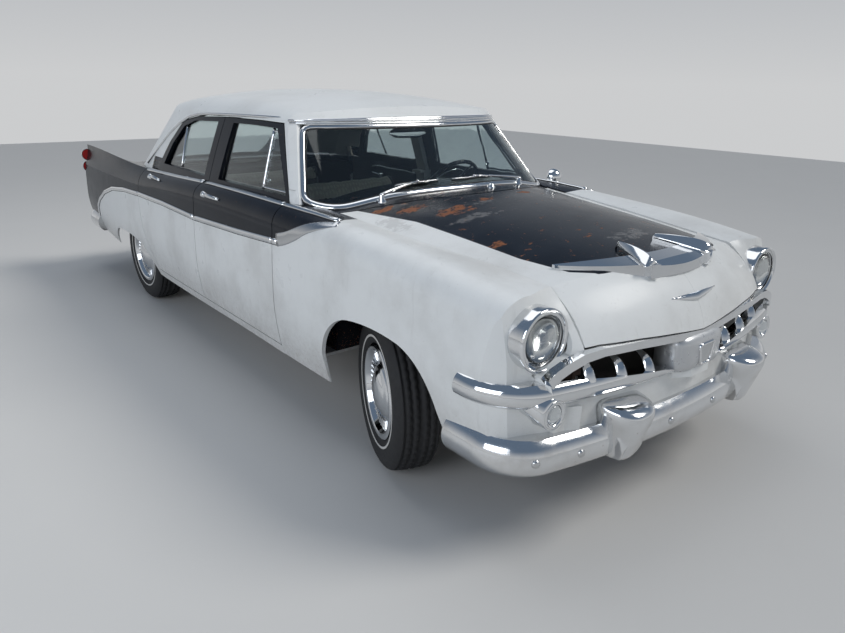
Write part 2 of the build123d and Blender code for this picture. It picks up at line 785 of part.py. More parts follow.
windscreen = pane & prism_x(WINDSCREEN_SIDE, -1000, 1000)
windscreen = windscreen - bonnet_solid - outer - mirror_x(outer)
keep("windscreen", windscreen)
back_glass = pane & prism_x(REAR_SCREEN_SIDE, -1000, 1000)
back_glass = back_glass - deck_solid - outer - mirror_x(outer)
keep("rear_screen", back_glass)

# Front wings, bonnet
LIP_OUTLINE = [
    (752, 676),
    (723, 706),
    (682, 727),
    (618, 749),
    (539, 757),
    (363, 752),
    (180, 738),
    (0, 722),
]
LIP_HALF = 15.0
LIP_CLEAR = 4.0


def lip_edge(up):
    """The lip's middle line in front view, moved up or down, with its outer end swung out."""
    return [(x + (up * 0.7 if x > 600 else 0), z + up) for x, z in LIP_OUTLINE]


mouth_edge = lip_edge(LIP_HALF - 6)
GRILLE_MOUTH = [(0, 560), *mouth_edge[::-1], (735, 655), (700, 600), (690, 560)]
WING_FOOT_Z = 303.0
wing = side_shell & box(0, 1000, -2700, DOOR_A_Y - SEAM_Y, WING_FOOT_Z, 1300)
wing = wing - front_arch - bonnet_plan(3.0)
wing = wing - prism_y(GRILLE_MOUTH, -2700, -2400)
wing = wing - cabin
keep("front_wings", both(wing))
bonnet = (bonnet_solid - bonnet_inner) & bonnet_plan(-3.0)
nose_edge = [(0, 560), *lip_edge(LIP_HALF + LIP_CLEAR)[::-1], (1000, 676), (1000, 560)]
nose_cut = prism_y(nose_edge, -2700, -2200)
bonnet = bonnet - nose_cut - mirror_x(nose_cut)
keep("bonnet", bonnet)

# Cowl: the panel between the bonnet and the windscreen, the bulkhead and the hinge posts
cowl_top = (bonnet_solid - bonnet_inner) & box(-1000, 1000, -1450, -1010, 900, 1300)
cowl_top = cowl_top - bonnet_plan(3.0) - outer - mirror_x(outer)
bulkhead = box(-700, 700, -1180, -1160, 345, 1200) & bonnet_inner
bulkhead = box(-700, 700, -1180, -1160, 345, 700) + bulkhead
post_a = inner & box(700, 1000, -1090, DOOR_A_Y - SEAM_Y, 345, 1300)
post_a = post_a + box(640, 720, -1180, DOOR_A_Y - SEAM_Y, 345, 1000)
cowl = cowl_top + bulkhead + whole(post_a) - NODES["roof"]
keep("cowl", cowl)

# Rear body: quarters, boot surround, tail panel
quarter = side_shell & box(0, 1000, -100, 2600, 200, 1300)
deck_shell = (deck_solid - deck_inner) & box(-1000, 1000, 1300, 2700, 400, 1300)
rear_body = quarter + mirror_x(quarter)
rear_body = rear_body & box(-1000, 1000, 700, 2600, 200, 1300)
rear_body = rear_body - rear_arch - mirror_x(rear_arch)
deck_strip = deck_shell - outer - mirror_x(outer)
rear_body = rear_body + deck_strip
rear_body = rear_body - lid_plan(PANEL_GAP) - side_openings
rocker_cut = box(-1000, 1000, -1100, DOOR_C_Y + 200, 100, DOOR_SILL_Z - PANEL_GAP)
rear_body = rear_body - rocker_cut - cabin
rear_body = rear_body - NODES["roof"] - back_glass
keep("rear_body", rear_body)
lid = deck_shell & lid_plan(0)
leaf_z = top_z(LID_LEAF_X, LID_FRONT_Y) - SKIN
for x in (LID_LEAF_X, -LID_LEAF_X):
    lid = lid + box(
        x - 40, x + 40, LID_FRONT_Y - PANEL_GAP + LEAF_SEAT, LID_FRONT_Y + 1, leaf_z + 3, leaf_z + 13
    )
keep("boot_lid", lid)


# Boot lid's neighbours done; from here on everything under and in front of the body

wing_low = wing & box(500, 800, -2700, -2380, 380, 600)
wing_nose = wing & box(500, 800, -2700, -2380, 520, 800)

# Nose: one plan line carries the pan, the grille's bar and its lip
NOSE_PLAN = (930, 265, -2290, -2634, -2262)
PAN_BOTTOM_Z = 465.0
PAN_TOP_Z = 576.0
pan = u_band(NOSE_PLAN, PAN_BOTTOM_Z, PAN_TOP_Z, 34, 52) & box(-690, 690, -2700, -2400, 400, 600)
block = prism_z([(0, -2560), (0, -2650), (60, -2650), (130, -2612), (138, -2560)], 560, 703)
nose = pan + whole(block) - wing_low - mirror_x(wing_low)
keep("nose_panel", nose)

# Grille: a heavy bar with three teeth each side, wrapping round the wings, and a lip over it
TOOTH_X = (268.0, 414.0, 561.0)
TOOTH_SWEEP = 5600.0
BAR_Z = 622.0
BAR_HEIGHT = 88.0
BAR_DEPTH = 58.0
grille_bar = u_bar(NOSE_PLAN, BAR_Z, BAR_DEPTH, BAR_HEIGHT)
BAR_END = [(132, 586), (150, 606), (210, 620), (400, 640), (620, 664), (1000, 680)]
BAR_FOOT = [(1000, 570), (400, 572), (210, 568), (150, 572)]
bar_outline = prism_y(BAR_END + BAR_FOOT, -2700, -2100)
grille_bar = grille_bar & whole(bar_outline)
# Stations of a tooth: setback from the bar's face, height over the bar's top, half width,
# depth, lean from upright
TOOTH_STATIONS = ((96, 62, 9, 8, 75), (52, 44, 19, 16, 50), (18, -14, 28, 20, 15))


def tooth_form(x, face_y):
    """A claw that curves down onto the bar, with a ridge along its front."""
    wires = []
    (bar_top,) = between(BAR_END, x, (1,))
    for setback, height, half, depth, lean in TOOTH_STATIONS:
        a = math.radians(lean)
        z = bar_top + height
        out_y, out_z = -math.cos(a), math.sin(a)
        y = face_y + setback
        left, right = (x - half, y, z), (x + half, y, z)
        ridge = (x, y + out_y * depth, z + out_z * depth)

        def turn(side):
            return (
                x + side * half * 0.62,
                y + out_y * depth * 0.62,
                z + out_z * depth * 0.62,
            )

        back = (x, y - out_y * depth * 0.5, z - out_z * depth * 0.5)
        wires.append(
            Wire(
                [
                    arc(left, turn(-1), ridge),
                    arc(ridge, turn(1), right),
                    arc(right, back, left),
                ]
            )
        )
    return Solid.make_loft(wires)


for x in TOOTH_X:
    tooth = tooth_form(x, NOSE_PLAN[3] + x * x / TOOTH_SWEEP)
    grille_bar = grille_bar + tooth + mirror_x(tooth)
LAMP_X = 738.0
LAMP_Z = 811.0
LAMP_R = 111.0
POD_X = 724.0
POD_Z = 562.0
POD_R = 52.0
pod_hole = rod((POD_X, -2350, POD_Z), (POD_X, -2620, POD_Z), POD_R)
grille_bar = grille_bar - outer - mirror_x(outer) - pod_hole - mirror_x(pod_hole)
grille_bar = grille_bar - NODES["nose_panel"]
lip_prism = prism_y(lip_edge(LIP_HALF) + lip_edge(-LIP_HALF)[::-1], -2700, -2300)
lip = u_band(NOSE_PLAN, 640, 790, -6, 26) & lip_prism
lip = whole(lip)
lip = lip - wing_nose - mirror_x(wing_nose) - NODES["nose_panel"] - grille_bar
keep("grille", grille_bar, lip)

# Lamps
headlamp_hole = rod((LAMP_X, -2330, LAMP_Z), (LAMP_X, -2600, LAMP_Z), LAMP_R)
barrel = rod((738, -2340, 811), (738, -2492, 811), 111) - rod(
    (738, -2455, 811), (738, -2500, 811), 91
)
lens = rod((738, -2455, 811), (738, -2484, 811), 91)
pod = rod((POD_X, -2400, POD_Z), (POD_X, -2548, POD_Z), POD_R) - outer
pod = pod - rod((724, -2536, 562), (724, -2560, 562), 36)
pod_lens = rod((724, -2536, 562), (724, -2552, 562), 36)
keep("headlamps", both(barrel))
keep("headlamp_lenses", both(lens))
keep("parking_lamps", both(pod - NODES["nose_panel"]))
keep("parking_lenses", both(pod_lens))
tail = rod((850, 2500, 958), (850, 2530, 958), 42) + rod((852, 2500, 862), (852, 2530, 862), 42)
keep("tail_lamps", both(tail))
wing = wing - headlamp_hole
keep("front_wings", both(wing))

# Bumpers
FRONT_BUMPER_PLAN = (918, 228, -2350, -2652, -2200)
front_bar = u_bar(FRONT_BUMPER_PLAN, 400, 84, 140)
GUARD = [(-2572, 545), (-2650, 540), (-2692.5, 519), (-2688, 470), (-2640, 335), (-2572, 326)]
PROW = [(300, -2560), (330, -2646), (402, -2692.5), (474, -2646), (504, -2560)]
GUARD_FACE = [(296, 560), (508, 560), (452, 320), (352, 320)]
guard = prism_x(GUARD, 300, 504) & prism_z(PROW, 300, 600) & prism_y(GUARD_FACE, -2760, -2500)
arm = box(400, 448, -2580, -2500, 365, 425)
front_bumper = front_bar + whole(guard + arm) - outer - mirror_x(outer)
front_bumper = front_bumper - NODES["nose_panel"]
keep("front_bumper", front_bumper)
REAR_BUMPER_PLAN = (918, 200, 2390, 2668, 2180)
rear_bar = u_bar(REAR_BUMPER_PLAN, 440, 80, 140)
REAR_GUARD = [(2570, 560), (2660, 552), (2692.5, 530), (2688, 480), (2640, 350), (2570, 340)]
REAR_PROW = [(400, 2560), (430, 2646), (485, 2692.5), (540, 2646), (570, 2560)]
rear_guard = prism_x(REAR_GUARD, 400, 570) & prism_z(REAR_PROW, 300, 600)
rear_arm = box(400, 448, 2470, 2600, 390, 450)
rear_bumper = rear_bar + whole(rear_guard + rear_arm) - outer - mirror_x(outer) - rear_body
rear_bumper = rear_bumper - deck_solid
keep("rear_bumper", rear_bumper)

# Frame
# Side rails in side view: y, underside z, top z. Each length between two stations is a welded
# section of its own.
RAIL = [
    (-2500, 350, 430),
    (-1400, 350, 430),
    (-1250, 240, 330),
    (800, 240, 330),
    (1000, 420, 500),
    (1700, 420, 500),
    (1850, 380, 460),
    (2470, 380, 460),
]
RAIL_X = (395.0, 455.0)
rails = []
for (y0, low0, high0), (y1, low1, high1) in zip(RAIL, RAIL[1:]):
    section = prism_x([(y0, low0), (y1, low1), (y1, high1), (y0, high0)], *RAIL_X)
    rails += both(section).solids()
RAIL_SEAT = 0.3
crossmembers = []
for y0, y1, z0, z1 in (
    (-2480, -2400, 352, 420),
    (-1817, -1637, 290, 360),
    (-340, -260, 250, 320),
    (560, 640, 250, 320),
    (1720, 1780, 415, 470),
    (2400, 2470, 385, 455),
):
    half = RAIL_X[0] - RAIL_SEAT
    crossmembers.append(box(-half, half, y0, y1, z0, z1))
frame = Compound([*rails, *[c.solids()[0] for c in crossmembers]])
keep("frame", frame)

# Floor with the sills, boot floor
BOOT_FLOOR_Z = 514.0
FLOOR_PROFILE = [
    (790, 330),
    (1000, 500),
    (2476, 500),
    (2476, BOOT_FLOOR_Z),
    (994, BOOT_FLOOR_Z),
    (785, FLOOR_Z),
]
floor = box(-794, 794, -1180, 790, 330, FLOOR_Z) + prism_x(FLOOR_PROFILE, -598, 598)
sill = outer & box(740, 1000, DOOR_A_Y - SEAM_Y, 1000, 300, DOOR_SILL_Z - PANEL_GAP)
sill = sill - rear_arch - rear_body
floor = floor + whole(sill)
keep("floor_pan", floor)

# Wheelhouses
front_house = box(455, 470, -2330, -1180, 475, 757) + box(455, 640, -2330, -1180, 745, 757)
front_house = front_house + (box(620, 1000, -2330, -1180, 745, 757) & inner)
front_house = front_house - cowl
REAR_HOUSE = [
    (832, 345),
    (893, 470),
    (975, 610),
    (1022, 757),
    (1640, 757),
    (1640, 745),
    (1032, 745),
    (985, 604),
    (904, 464),
    (846, 345),
]
rear_house = prism_x(REAR_HOUSE, 600, 640) + (prism_x(REAR_HOUSE, 630, 1000) & inner)
house_side = [(846, 345), (904, 464), (985, 604), (1032, 745), (1780, 745), (1780, 460), (846, 345)]
house_side = prism_x(house_side[:-1], 600, 612)
rear_house = rear_house + house_side
keep("wheelhouses", both(front_house), both(rear_house - floor))

# Inside
INSIDE = inner + mirror_x(inner) + box(-640, 640, 1100, 1600, 300, 940)
shelf = box(-598, 598, 1168, 1180, BOOT_FLOOR_Z, 757) + (box(-1000, 1000, 1168, 1180, 757, 940) & INSIDE)
shelf = shelf + (box(-1000, 1000, 1168, 1500, 928, 940) & INSIDE)
shelf = shelf - rear_house - mirror_x(rear_house) - side_openings - rear_body - floor
keep("parcel_shelf", shelf)
DASH = [(-1160, 900), (-990, 880), (-975, 980), (-1005, 1060), (-1005, 1200), (-1160, 1200)]
dash = prism_x(DASH, -690, 690) & bonnet_inner
dash = dash - cowl
keep("dashboard", dash)


def bench(x, y0, y1, z0, z1, round_off):
    block = box(-x, x, y0, y1, z0, z1)
    return fillet(block.edges(), round_off)


FRONT_BACK = [(20, 560), (150, 560), (215, 985), (120, 985)]
front_back = fillet(prism_x(FRONT_BACK, -640, 640).edges(), 30)
front_seat = bench(640, -500, 60, 480, 700, 45) + front_back
front_seat = front_seat + box(-560, 560, -420, 150, FLOOR_Z, 500)
keep("front_seat", front_seat)
REAR_BACK = [(1000, 580), (1167, 580), (1167, 935), (1090, 985)]
rear_back = fillet(prism_x(REAR_BACK, -590, 590).edges(), 25)
rear_seat = bench(590, 560, 1100, 530, 700, 45) + rear_back
rear_seat = rear_seat + box(-560, 560, 600, 770, FLOOR_Z, 580)
rear_seat = rear_seat + box(-560, 560, 1020, 1167, BOOT_FLOOR_Z, 600)
keep("rear_seat", rear_seat)

# Steering column and wheel
WHEEL_CENTRE = Vector(380, -715, 993)
COLUMN_TILT_DEG = 35.0
COLUMN_PIN_R = 11.0
column_dir = Vector(
    0, math.cos(math.radians(COLUMN_TILT_DEG)), math.sin(math.radians(COLUMN_TILT_DEG))
)


def on_column(distance):
    return WHEEL_CENTRE + column_dir * distance


column = rod(on_column(-620), on_column(-40), 24) & box(0, 700, -1160, 0, 0, 1300)
column = column + rod(on_column(-45), on_column(-22), COLUMN_PIN_R)
keep("steering_column", column - dash - cowl)
HAND_WHEEL_R = 202.0
HAND_RIM_R = 11.0


def hand_wheel_form():
    """The steering wheel about the Z axis, with its hub's socket facing down."""
    inner_r, flat = HAND_WHEEL_R - HAND_RIM_R, HAND_RIM_R * 0.6
    low, high = (inner_r, 0, -flat), (inner_r, 0, flat)
    around = arc(high, (HAND_WHEEL_R + HAND_RIM_R, 0, 0), low)
    ring = Solid.revolve(Face(Wire([line(low, high), around])), 360, Axis.Z)
    form = ring + rod((0, 0, -38), (0, 0, 16), 36)
    for angle in (60, 180, 300):
        a = math.radians(angle)
        reach = (math.cos(a), math.sin(a))
        start = (reach[0] * 20, reach[1] * 20, 0)
        end = (reach[0] * HAND_WHEEL_R, reach[1] * HAND_WHEEL_R, 0)
        form = form + rod(start, end, HAND_RIM_R * 0.5)
    return form - rod((0, 0, -39), (0, 0, -20), COLUMN_PIN_R + PIN_FIT)


hand_plane = Plane(origin=on_column(0), x_dir=(1, 0, 0), z_dir=column_dir)
hand_wheel = hand_wheel_form().moved(hand_plane.location)
keep("steering_wheel", hand_wheel)

# Engine block, radiator, exhaust, tank
engine = box(-230, 230, -2230, -1420, 360, 860) + box(-130, 130, -1430, -1180, 380, 660)
keep("engine", engine)
radiator = box(-380, 380, -2440, -2380, 420, 880)
keep("radiator", radiator)
pipe_z = 250 - 24 - 0.35
exhaust = rod((-330, -1450, pipe_z), (-330, 2560, pipe_z), 24)
exhaust = exhaust + rod((-330, -180, pipe_z), (-330, 480, pipe_z), 64)
keep("exhaust", exhaust)
keep("fuel_tank", box(-290, 390, 1900, 2380, 300, 500))

# Axles and knuckles
KINGPIN_R = 14.0
EYE_R = 24.0
arm_low = prism_z([(455, -1837), (455, -1617), (672, -1707), (672, -1747)], 232, 256)
arm_low = arm_low + rod((672, -1727, 232), (672, -1727, 256), EYE_R)
arm_top = prism_z([(455, -1797), (455, -1657), (672, -1709), (672, -1745)], 436, 456)
arm_top = arm_top + rod((672, -1727, 436), (672, -1727, 456), EYE_R)
pin_hole = rod((672, -1727, 200), (672, -1727, 500), KINGPIN_R + PIN_FIT)
carrier = box(455, 475, -1857, -1597, 232, 470)
front_arms = arm_low + arm_top - pin_hole + carrier
keep("front_suspension", both(front_arms))
knuckle = rod((672, -1727, 224), (672, -1727, 464), KINGPIN_R)
knuckle = knuckle + rod((672, -1727, 262), (672, -1727, 430), 22)
knuckle = knuckle + rod((672, -1727, TYRE_RADIUS), (756, -1727, TYRE_RADIUS), HUB_BORE - PIN_FIT)
for side, name in ((1, "left"), (-1, "right")):
    k = knuckle if side > 0 else mirror_x(knuckle)
    axis = Axis((side * KINGPIN_X, AXLE_FRONT_Y, 0), (0, 0, 1))
    keep(f"{name}_knuckle", k.rotate(axis, -PARKED_STEER_DEG))
AXLE_TUBE_R = 40.0
AXLE_CORE_R = 12.0
AXLE_END_X = 758.0
HOUSING_R = 135.0
axle = revolved_x(
    [
        (-AXLE_END_X, AXLE_CORE_R),
        (-AXLE_END_X, HUB_BORE - PIN_FIT),
        (-690, HUB_BORE - PIN_FIT),
        (-690, AXLE_TUBE_R),
        (-140, AXLE_TUBE_R),
        (-60, HOUSING_R - 8),
        (60, HOUSING_R - 8),
        (140, AXLE_TUBE_R),
        (690, AXLE_TUBE_R),
        (690, HUB_BORE - PIN_FIT),
        (AXLE_END_X, HUB_BORE - PIN_FIT),
        (AXLE_END_X, AXLE_CORE_R),
    ],
    [(5, (0, HOUSING_R))],
).moved(Location((0, AXLE_REAR_Y, TYRE_RADIUS)))
SPRING = [(820, 290), (1321, 284), (1880, 392), (1880, 406), (1321, 304), (820, 306)]
spring = prism_x(SPRING, 470, 530) + box(465, 535, 1271, 1371, 282, 345)
spring = spring + box(455, 530, 800, 840, 262, 329.7) + box(455, 530, 1860, 1900, 385, 440)
axle = axle + whole(spring) - frame - floor
keep("rear_axle", axle)

# Wheels
tyre = tyre_form()
wheel = wheel_form()
for side, name in ((1, "left"), (-1, "right")):
    for y, end in ((AXLE_FRONT_Y, "front"), (AXLE_REAR_Y, "rear")):
        steered = end == "front"
        keep(f"{end}_{name}_tyre", placed_wheel(tyre, side, y, steered))
        keep(f"{end}_{name}_wheel", placed_wheel(wheel, side, y, steered))

# Ornament across the front of the bonnet: a plate that lies on it, swept back to its ends
ORNAMENT_HALF = 487.0
ORNAMENT_END_Y = -2300.0
ORNAMENT_FRONT_Y = -2532.0
ORNAMENT_CHORD = 110.0
ORNAMENT_RISE = 10.0
ORNAMENT_OVERHANG = 52.0
ORNAMENT_FOOT_Z = 936.0
crescent = Wire(
    [
        arc(
            (-ORNAMENT_HALF, ORNAMENT_END_Y, 900),
            (0, ORNAMENT_FRONT_Y, 900),
            (ORNAMENT_HALF, ORNAMENT_END_Y, 900),
        ),
        line((ORNAMENT_HALF, ORNAMENT_END_Y, 900), (ORNAMENT_HALF, ORNAMENT_END_Y + 12, 900)),
        arc(
            (ORNAMENT_HALF, ORNAMENT_END_Y + 12, 900),
            (0, ORNAMENT_FRONT_Y + ORNAMENT_CHORD, 900),
            (-ORNAMENT_HALF, ORNAMENT_END_Y + 12, 900),
        ),
        line((-ORNAMENT_HALF, ORNAMENT_END_Y + 12, 900), (-ORNAMENT_HALF, ORNAMENT_END_Y, 900)),
    ]
)
crescent = Solid.extrude(Face(crescent), Vector(0, 0, 200))
ornament = bonnet_solid.moved(Location((0, -ORNAMENT_OVERHANG, ORNAMENT_RISE))) & crescent
ornament = ornament & box(-600, 600, -2700, -2000, ORNAMENT_FOOT_Z, 1100)
FIN_PLAN = [(117, -2300), (127, -2300), (208, -2518), (170, -2530)]
FIN_SIDE = [(-2300, 940), (-2300, 1020), (-2534, 990), (-2534, 940)]
fin = prism_z(FIN_PLAN, 936, 1030) & prism_x(FIN_SIDE, 100, 220)
ornament = ornament + whole(fin) - bonnet_solid
keep("bonnet_ornament", ornament)

if __name__ == "__main__":
    os.makedirs("parts", exist_ok=True)
    for name, shape in NODES.items():
        export_step(shape, f"parts/{name}.step")
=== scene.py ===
import json
import math

import bmesh
import bpy
from mathutils import Matrix, Vector
from mathutils.bvhtree import BVHTree


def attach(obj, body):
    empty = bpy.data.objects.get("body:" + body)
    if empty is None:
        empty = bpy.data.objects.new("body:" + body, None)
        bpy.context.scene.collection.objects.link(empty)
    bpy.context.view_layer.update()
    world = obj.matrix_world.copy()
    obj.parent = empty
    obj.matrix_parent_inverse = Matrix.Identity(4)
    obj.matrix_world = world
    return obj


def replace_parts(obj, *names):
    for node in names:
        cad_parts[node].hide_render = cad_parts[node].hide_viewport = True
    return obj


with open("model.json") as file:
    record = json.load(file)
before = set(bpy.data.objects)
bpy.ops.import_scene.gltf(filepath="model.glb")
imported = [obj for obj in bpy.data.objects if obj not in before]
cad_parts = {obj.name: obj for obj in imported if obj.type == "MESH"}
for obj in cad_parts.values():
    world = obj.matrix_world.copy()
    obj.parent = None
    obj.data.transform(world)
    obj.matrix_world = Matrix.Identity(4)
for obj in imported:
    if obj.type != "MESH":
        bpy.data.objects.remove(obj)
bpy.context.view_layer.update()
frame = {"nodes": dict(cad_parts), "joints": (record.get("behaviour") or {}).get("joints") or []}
nodes = frame["nodes"]

SIDES = ((1, "left"), (-1, "right"))
ENDS = ("front", "rear")
UP, FORWARD, BACKWARD = Vector((0, 0, 1)), Vector((0, -1, 0)), Vector((0, 1, 0))


def shares(steps):
    """From 0 to 1 in even steps."""
    return [k / steps for k in range(steps + 1)]


def between(a, b, t):
    return a + (b - a) * t


# Shader graphs
class Graph:
    """Writes one material's nodes."""

    def __init__(self, name):
        self.mat = bpy.data.materials.new(name)
        self.mat.use_nodes = True
        self.tree = self.mat.node_tree
        self.bsdf = self.tree.nodes["Principled BSDF"]
        self.coord = self.node("ShaderNodeTexCoord")
        self.xyz = self.node("ShaderNodeSeparateXYZ")
        self.link(self.coord.outputs["Object"], self.xyz.inputs[0])

    def node(self, kind, **values):
        made = self.tree.nodes.new(kind)
        for key, value in values.items():
            setattr(made, key, value)
        return made

    def link(self, a, b):
        self.tree.links.new(a, b)

    def put(self, socket, value):
        if isinstance(value, bpy.types.NodeSocket):
            self.link(value, socket)
        else:
            socket.default_value = value

    def math(self, operation, a, b=0.0, clamp=False):
        made = self.node("ShaderNodeMath", operation=operation, use_clamp=clamp)
        self.put(made.inputs[0], a)
        self.put(made.inputs[1], b)
        return made.outputs[0]

    def times(self, a, b):
        return self.math("MULTIPLY", a, b)

    def plus(self, a, b, clamp=False):
        return self.math("ADD", a, b, clamp)

    def minus(self, a, b, clamp=False):
        return self.math("SUBTRACT", a, b, clamp)

    def most(self, a, b):
        return self.math("MAXIMUM", a, b)

    def level(self, fac, a, b):
        """A number between a and b."""
        return self.plus(self.times(fac, b - a), a)

    def smooth(self, value, low, high):
        """0 below low, 1 above high."""
        made = self.node("ShaderNodeMapRange", interpolation_type="SMOOTHSTEP")
        self.put(made.inputs[0], value)
        made.inputs[1].default_value = low
        made.inputs[2].default_value = high
        return made.outputs[0]

    def noise(self, scale, detail=4.0, rough=0.55, stretch=(1, 1, 1), shift=(0, 0, 0)):
        place = self.node("ShaderNodeMapping")
        place.inputs["Scale"].default_value = stretch
        place.inputs["Location"].default_value = shift
        self.link(self.coord.outputs["Object"], place.inputs[0])
        made = self.node("ShaderNodeTexNoise")
        self.link(place.outputs[0], made.inputs["Vector"])
        made.inputs["Scale"].default_value = scale
        made.inputs["Detail"].default_value = detail
        made.inputs["Roughness"].default_value = rough
        return made.outputs["Fac"]

    def curve(self, value, points, low, high):
        """A line through points, read at value; low and high bound the points' second column."""
        first, last = points[0][0], points[-1][0]
        place = self.node("ShaderNodeMapRange")
        self.put(place.inputs[0], value)
        place.inputs[1].default_value = first
        place.inputs[2].default_value = last
        ramp = self.node("ShaderNodeValToRGB")
        stops = ramp.color_ramp.elements
        while len(stops) < len(points):
            stops.new(0.5)
        for stop, (at, height) in zip(stops, points):
            stop.position = (at - first) / (last - first)
            grey = (height - low) / (high - low)
            stop.color = (grey, grey, grey, 1)
        self.link(place.outputs[0], ramp.inputs[0])
        return self.level(ramp.outputs[0], low, high)

    def mix(self, fac, a, b):
        made = self.node("ShaderNodeMix", data_type="RGBA")
        self.put(made.inputs["Factor"], fac)
        for key, value in (("A", a), ("B", b)):
            self.put(made.inputs[key], (*value, 1) if isinstance(value, tuple) else value)
        return made.outputs["Result"]

    def ovals(self, x, y, rows):
        """1 in the middle of each oval, 0 at its edge and beyond."""
        result = 0.0
        for at_x, at_y, wide, long in rows:
            across = self.math("DIVIDE", self.minus(x, at_x), wide)
            along = self.math("DIVIDE", self.minus(y, at_y), long)
            square = self.plus(self.times(across, across), self.times(along, along))
            result = self.most(result, self.minus(1.0, square, True))
        return result

    def bump(self, height, strength, distance):
        made = self.node("ShaderNodeBump")
        made.inputs["Strength"].default_value = strength
        made.inputs["Distance"].default_value = distance
        self.link(height, made.inputs["Height"])
        self.link(made.outputs[0], self.bsdf.inputs["Normal"])

    def set(self, **values):
        for key, value in values.items():
            self.put(self.bsdf.inputs[key.replace("_", " ")], value)
        return self.mat


WHITE, GRIME, SCUFF = (0.78, 0.79, 0.78), (0.16, 0.13, 0.10), (0.32, 0.31, 0.30)
BLACK, FADED_BLACK = (0.007, 0.009, 0.014), (0.022, 0.027, 0.036)
RUST, DARK_RUST, LIGHT_RUST = (0.23, 0.075, 0.025), (0.12, 0.045, 0.02), (0.36, 0.13, 0.05)
TRIM_GREY, HEADLINER = (0.10, 0.095, 0.09), (0.42, 0.40, 0.36)

# Side lines as y and z: the spear along the body, and the flash that sweeps up from its front end
SPEAR_LINE = [
    (-1.010, 0.884), (-0.587, 0.860), (0.003, 0.837), (0.508, 0.844), (0.953, 0.838),
    (1.350, 0.822), (1.652, 0.790), (1.880, 0.733), (2.060, 0.655), (2.150, 0.590),
    (2.190, 0.500),
]
FLASH_LINE = [
    (-1.010, 0.884), (-1.075, 0.900), (-1.165, 0.935), (-1.258, 0.985), (-1.345, 1.018),
    (-1.425, 1.045),
]
# The height of the edge between the white lower side and the black upper side, along Y
PAINT_EDGE = [
    (-2.75, 1.60), (-1.50, 1.60), (-1.42, 1.048), *reversed(FLASH_LINE[1:5]), *SPEAR_LINE,
    (2.200, 0.200), (2.75, 0.200),
]
# Half width of the black centre of the bonnet, along Y
BONNET_BLACK = [
    (-2.75, 0.0), (-2.474, 0.0), (-2.464, 0.20), (-2.426, 0.389), (-2.350, 0.464),
    (-2.151, 0.511), (-1.573, 0.547), (-1.051, 0.691), (-0.80, 0.80),
]
MASK_EDGE = 0.001
# Rust and bare scuffs on the bonnet's black: x, y and half sizes
RUST_PATCHES = [
    (-0.550, -1.335, 0.075, 0.045), (-0.465, -1.435, 0.095, 0.050), (-0.320, -1.580, 0.150, 0.070),
    (-0.090, -1.500, 0.080, 0.035), (-0.480, -2.000, 0.060, 0.035), (0.250, -1.450, 0.070, 0.030),
]
SCUFFS = [
    (-0.140, -1.540, 0.140, 0.045), (-0.330, -1.700, 0.220, 0.060), (-0.620, -1.520, 0.080, 0.160),
    (0.100, -2.200, 0.200, 0.080),
]
CABIN_MIDDLE = (0, 0.2, 0.75)


